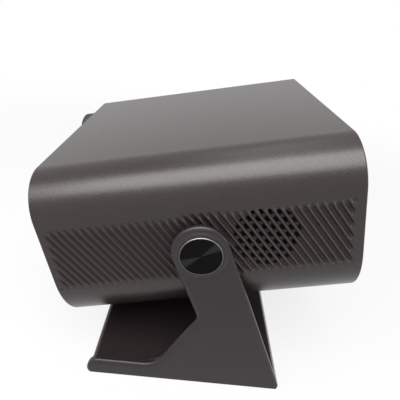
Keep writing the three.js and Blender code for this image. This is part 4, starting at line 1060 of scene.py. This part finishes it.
def makeSockets():
    makeSocket("hdmi", 10)
    makeSocket("usb", 4)
    audio = socketSizes["audio"]
    mesh = bmesh.new()
    platePiece(mesh, rectangleLoop(audio["side"], audio["side"], 0.5, 3), rearFace - audio["depth"],
               rearFace - gap,
               0.2, 0.4, centre=audio["place"])
    jack = newObject("audio_port", mesh, tiltAxes)
    bore = bmesh.new()
    turnPiece(bore, rodProfile(audio["bore"], rearFace - audio["depth"] + 1.8, rearFace + reach), 48,
              audio["place"])
    turnPiece(bore, [(audio["bore"] + 0.05, rearFace - 0.9), (audio["bore"] + 1.15, rearFace - 0.9),
                     (audio["bore"] + 1.15, rearFace + reach), (audio["bore"] + 0.05, rearFace + reach)], 48,
              audio["place"])
    carve(jack, newObject("jack_tool", bore, tiltAxes))
    ring = bmesh.new()
    ring.from_mesh(jack.data)
    start = len(ring.faces)
    turned = bmesh.new()
    turnPiece(turned, [(audio["bore"], rearFace - 4), (audio["bore"] + 0.9, rearFace - 0.95),
                       (audio["bore"] + 0.9, rearFace - 0.15), (audio["bore"] + 0.7, rearFace - 0.05),
                       (audio["bore"] + 0.2, rearFace - 0.05), (audio["bore"], rearFace - 0.25)], 64,
                       audio["place"])
    turned.transform(tiltAxes)
    bmesh.ops.recalc_face_normals(turned, faces=turned.faces)
    ringMesh = bpy.data.meshes.new("jack_ring")
    turned.to_mesh(ringMesh)
    turned.free()
    ring.from_mesh(ringMesh)
    tintFaces(ring, start, 1)
    ring.to_mesh(jack.data)
    ring.free()
    bpy.data.meshes.remove(ringMesh)
    finishPiece(jack, [panelPlastic, zincSteel], "projector", ["audio_socket"])


def makeInlet():
    x, z = inlet["place"]
    width, height = inlet["width"] + 2 * inlet["wall"], inlet["height"] + 2 * inlet["wall"]
    mesh = bmesh.new()
    platePiece(mesh, rectangleLoop(width, height, 0.4, 3), rearFace - inlet["depth"], rearFace + 0.6, 0.2, 0,
               centre=(x, z))
    shell = newObject("mains_socket", mesh, tiltAxes)
    rim = bmesh.new()
    platePiece(rim, rectangleLoop(width + 2 * inlet["flange"], height + 2 * inlet["flange"], 2.2, 6),
               rearFace + gap, rearFace + gap + inlet["flangeThickness"], 0, 0.45, centre=(x, z))
    carve(shell, newObject("rim_tool", rim, tiltAxes), "UNION")
    well = bmesh.new()
    openingTool(well, rectangleLoop(inlet["width"], inlet["height"], inlet["height"] / 2 - 0.3, 8),
                rearFace - inlet["cavity"] + reach, rearFace + gap + inlet["flangeThickness"], 0.5, (x, z))
    carve(shell, newObject("well_tool", well, tiltAxes))
    pins = bmesh.new()
    for sign in (1, -1):
        turnPiece(pins, rodProfile(inlet["pinRadius"] + 0.3, rearFace - inlet["depth"] - reach, rearFace), 32,
                  (x + sign * inlet["pinSpacing"] / 2, z))
    carve(shell, newObject("pin_tool", pins, tiltAxes))
    finishPiece(shell, [panelPlastic], "projector", ["power_inlet"])
    for side, sign in (("left", 1), ("right", -1)):
        pin = bmesh.new()
        r = inlet["pinRadius"]
        near, far = rearFace - inlet["depth"] - inlet["wall"], rearFace - inlet["pinSetBack"]
        turnPiece(pin, [(0, near), (r - 0.1, near), (r, near + 0.1), (r, far - 1.0), (r * 0.9, far - 0.5),
                        (r * 0.65, far - 0.15), (r * 0.35, far), (0, far)], 32,
                  (x + sign * inlet["pinSpacing"] / 2, z))
        finishPiece(newObject(f"mains_pin_{side}", pin, tiltAxes), [zincSteel], "projector",
                    [f"inlet_pin_{side}"])


def makeButton():
    face, r = rearFace + button["proud"], button["radius"]
    flangeBack = rearInner - gap
    flangeFront = flangeBack - button["flangeHeight"]
    mesh = bmesh.new()
    turnPiece(mesh, [
        (0, button["stemEnd"]), (button["stemRadius"], button["stemEnd"]),
        (button["stemRadius"], flangeFront),
        (r + button["flange"], flangeFront), (r + button["flange"], flangeBack), (r, flangeBack),
        (r, face - 0.6),
        (r - 0.18, face - 0.18), (r - 0.6, face), (r - 1.0, face - 0.06),
        (r * 0.6, face - button["dish"] * 0.75),
        (r * 0.3, face - button["dish"] * 0.95), (0, face - button["dish"])], 96, button["place"])
    finishPiece(newObject("power_key", mesh, tiltAxes), [standPlastic], "button",
                ["power_button"])


makeRearPanel()
makeSockets()
makeInlet()
makeButton()
for index, (x, z) in enumerate(screwPlaces):
    makeScrew(f"panel_screw_{index + 1}", rearScrew, tiltAxes @ Matrix.Translation((x, rearFace - gap, z)),
              "projector", f"rear_screw_{index + 1}")
print("rear ready")

# Under the base: a plate with its screws and four rubber pads
baseScrew = {"headRadius": 3, "headHeight": 0.9, "shankRadius": 1.3, "length": 6.5, "recess": 0.7}
pad = {"length": 26, "width": 9, "thickness": 1.2, "corner": 4, "round": 0.5, "inset": 9}


def makeUnderside():
    mesh = bmesh.new()
    platePiece(mesh, trayLoop(gap), coverBottom, coverTop, cover["round"], 0, axis="z")
    plate = newObject("bottom_plate", mesh, standAxes)
    holes = bmesh.new()
    for x, y in bossPlaces:
        turnPiece(holes, rodProfile(baseScrew["headRadius"] + 0.25, coverBottom - reach, coverBottom + 1.2),
                  40, (x, y))
        turnPiece(holes, rodProfile(baseScrew["shankRadius"] + 0.3, coverBottom + 1.15, coverTop + reach), 40,
                  (x, y))
    place = standAxes @ Matrix.Rotation(math.radians(90), 4, "X") @ Matrix.Scale(-1, 4, (0, 0, 1))
    carve(plate, newObject("hole_tool", holes, place))
    finishPiece(plate, [panelPlastic], "stand", ["base_cover"])
    for index, (x, y) in enumerate(bossPlaces):
        turned = Matrix.Translation((x, y, coverBottom)) @ Matrix.Rotation(math.radians(-90), 4, "X")
        makeScrew(f"bottom_screw_{index + 1}", baseScrew, standAxes @ turned, "stand",
                  f"base_screw_{index + 1}")
    footX = tray["x"] - boss["inset"] - boss["radius"] - pad["length"] / 2 - pad["inset"]
    ground = -stand["pivotHeight"]
    for side, sign in (("left", 1), ("right", -1)):
        for end, y in (("front", tray["front"] + pad["inset"]), ("back", tray["back"] - pad["inset"])):
            foot = bmesh.new()
            platePiece(foot, rectangleLoop(pad["length"], pad["width"], pad["corner"], 8), ground,
                       ground + pad["thickness"], pad["round"], 0.1, axis="z", centre=(sign * footX, y))
            finishPiece(newObject(f"rubber_pad_{end}_{side}", foot, standAxes), [footRubber], "stand",
                        [f"foot_pad_{end}_{side}"])


makeUnderside()
print("underside ready")

# Every CAD node that still shows gets the material of its slot
for part in frame["record"]["subparts"]:
    node = frame["nodes"][part["node"]]
    node.data.materials.clear()
    node.data.materials.append(slotMaterials[part["material_slot"]])

# Floor: plain and pale; the camera sees it lighter than it is, so that only a soft shadow stays
floorLook = {"color": "#cccccc", "size": 6.0, "lift": 0.82, "fadeFrom": 0.25, "fadeTo": 0.9}


def makeFloor():
    mesh = bmesh.new()
    half = floorLook["size"] / 2
    mesh.faces.new([mesh.verts.new(corner) for corner in (
        (-half, -half, 0), (half, -half, 0), (half, half, 0), (-half, half, 0))])
    floor = newObject("floor", mesh, Matrix.Identity(4))
    material = bpy.data.materials.new("paintedBoard")
    material.use_nodes = True
    tree = material.node_tree
    tree.nodes.clear()
    plain = addNode(tree, "ShaderNodeBsdfDiffuse", {"Color": toLinear(floorLook["color"])})
    bright = addNode(tree, "ShaderNodeEmission", {"Color": (1, 1, 1, 1), "Strength": 1.0})
    rays = addNode(tree, "ShaderNodeLightPath")
    direct = addNode(tree, "ShaderNodeMath", links={0: rays.outputs["Is Camera Ray"],
                     1: rays.outputs["Is Glossy Ray"]}, operation="MAXIMUM")
    clear = addNode(tree, "ShaderNodeMath", links={0: direct.outputs[0],
                                                   1: rays.outputs["Is Transmission Ray"]},
                    operation="MAXIMUM")
    place = addNode(tree, "ShaderNodeTexCoord")
    distance = addNode(tree, "ShaderNodeVectorMath", links={0: place.outputs["Object"]}, operation="LENGTH")
    lift = addNode(tree, "ShaderNodeMapRange", {"From Min": floorLook["fadeFrom"],
                                                "From Max": floorLook["fadeTo"],
                   "To Min": floorLook["lift"], "To Max": 1.0}, {"Value": distance.outputs["Value"]},
                   interpolation_type="SMOOTHSTEP")
    seen = addNode(tree, "ShaderNodeMath", links={0: clear.outputs[0], 1: lift.outputs[0]},
                   operation="MULTIPLY")
    mixed = addNode(tree, "ShaderNodeMixShader", links={0: seen.outputs[0], 1: plain.outputs[0],
                                                        2: bright.outputs[0]})
    addNode(tree, "ShaderNodeOutputMaterial", links={"Surface": mixed.outputs[0]})
    floor.data.materials.append(material)


makeFloor()

# Light: a wide soft lamp high over the viewer, weaker ones above and at both ends, and a plain world
lights = {
    "left": {"place": (0.5, -0.9, 0.75), "aim": (0.1, 0, 0.05), "size": (0.6, 0.6), "power": 2.8},
    "key": {"place": (0.585, -0.18, 0.98), "aim": (0.1, -0.18, 0.12), "size": (1.2, 0.7), "power": 20},
    "top": {"place": (-0.05, -0.1, 1.15), "aim": (0, -0.1, 0.15), "size": (0.4, 1.1), "power": 2.2},
    "side": {"place": (0.43, 1.05, 0.3), "aim": (0.1, 0.05, 0.12), "size": (0.6, 0.45), "power": 1.8},
}
worldLook = {"seen": 1.0, "fill": 0.3}


def makeLights():
    for name, lamp in lights.items():
        data = bpy.data.lights.new(name, "AREA")
        data.shape = "RECTANGLE"
        data.size, data.size_y = lamp["size"]
        data.energy = lamp["power"]
        light = bpy.data.objects.new(name, data)
        light.location = lamp["place"]
        light.rotation_mode = "QUATERNION"
        light.rotation_quaternion = (Vector(lamp["place"]) - Vector(lamp["aim"])).to_track_quat("Z", "Y")
        bpy.context.scene.collection.objects.link(light)
    world = bpy.data.worlds.new("studio")
    bpy.context.scene.world = world
    world.use_nodes = True
    tree = world.node_tree
    tree.nodes.clear()
    rays = addNode(tree, "ShaderNodeLightPath")
    direct = addNode(tree, "ShaderNodeMath", links={0: rays.outputs["Is Camera Ray"],
                     1: rays.outputs["Is Glossy Ray"]}, operation="MAXIMUM")
    seen = addNode(tree, "ShaderNodeMath", links={0: direct.outputs[0],
                                                  1: rays.outputs["Is Transmission Ray"]},
                   operation="MAXIMUM")
    strength = addNode(tree, "ShaderNodeMapRange", {"To Min": worldLook["fill"], "To Max": worldLook["seen"]},
                       {"Value": seen.outputs[0]})
    shade = addNode(tree, "ShaderNodeBackground", {"Color": (1, 1, 1, 1)}, {"Strength": strength.outputs[0]})
    addNode(tree, "ShaderNodeOutputWorld", links={"Surface": shade.outputs[0]})


makeLights()

# Camera: where the photograph was taken from, close by on the projector's left
camera = {"fromAxis": (291.95, -11.9, 124.8), "pitch": 26.841, "yaw": 2.322, "roll": 7.469, "lens": 34.53}


def makeCamera():
    pitch, yaw, roll = (math.radians(camera[name]) for name in ("pitch", "yaw", "roll"))
    forward = Vector((-math.cos(yaw) * math.cos(pitch), math.sin(yaw) * math.cos(pitch), -math.sin(pitch)))
    level = Vector((math.sin(yaw), math.cos(yaw), 0))
    upright = level.cross(forward)
    right = level * math.cos(roll) + upright * math.sin(roll)
    up = upright * math.cos(roll) - level * math.sin(roll)
    data = bpy.data.cameras.new("camera")
    data.lens = camera["lens"]
    data.sensor_width = 36
    data.clip_start, data.clip_end = 0.01, 20
    view = bpy.data.objects.new("camera", data)
    place = pivot + Vector(camera["fromAxis"]) * mm
    view.matrix_world = Matrix.Translation(place) @ Matrix((right, up, -forward)).transposed().to_4x4()
    bpy.context.scene.collection.objects.link(view)
    bpy.context.scene.camera = view


makeCamera()
bpy.context.scene.view_settings.view_transform = "Standard"
print("stage ready")
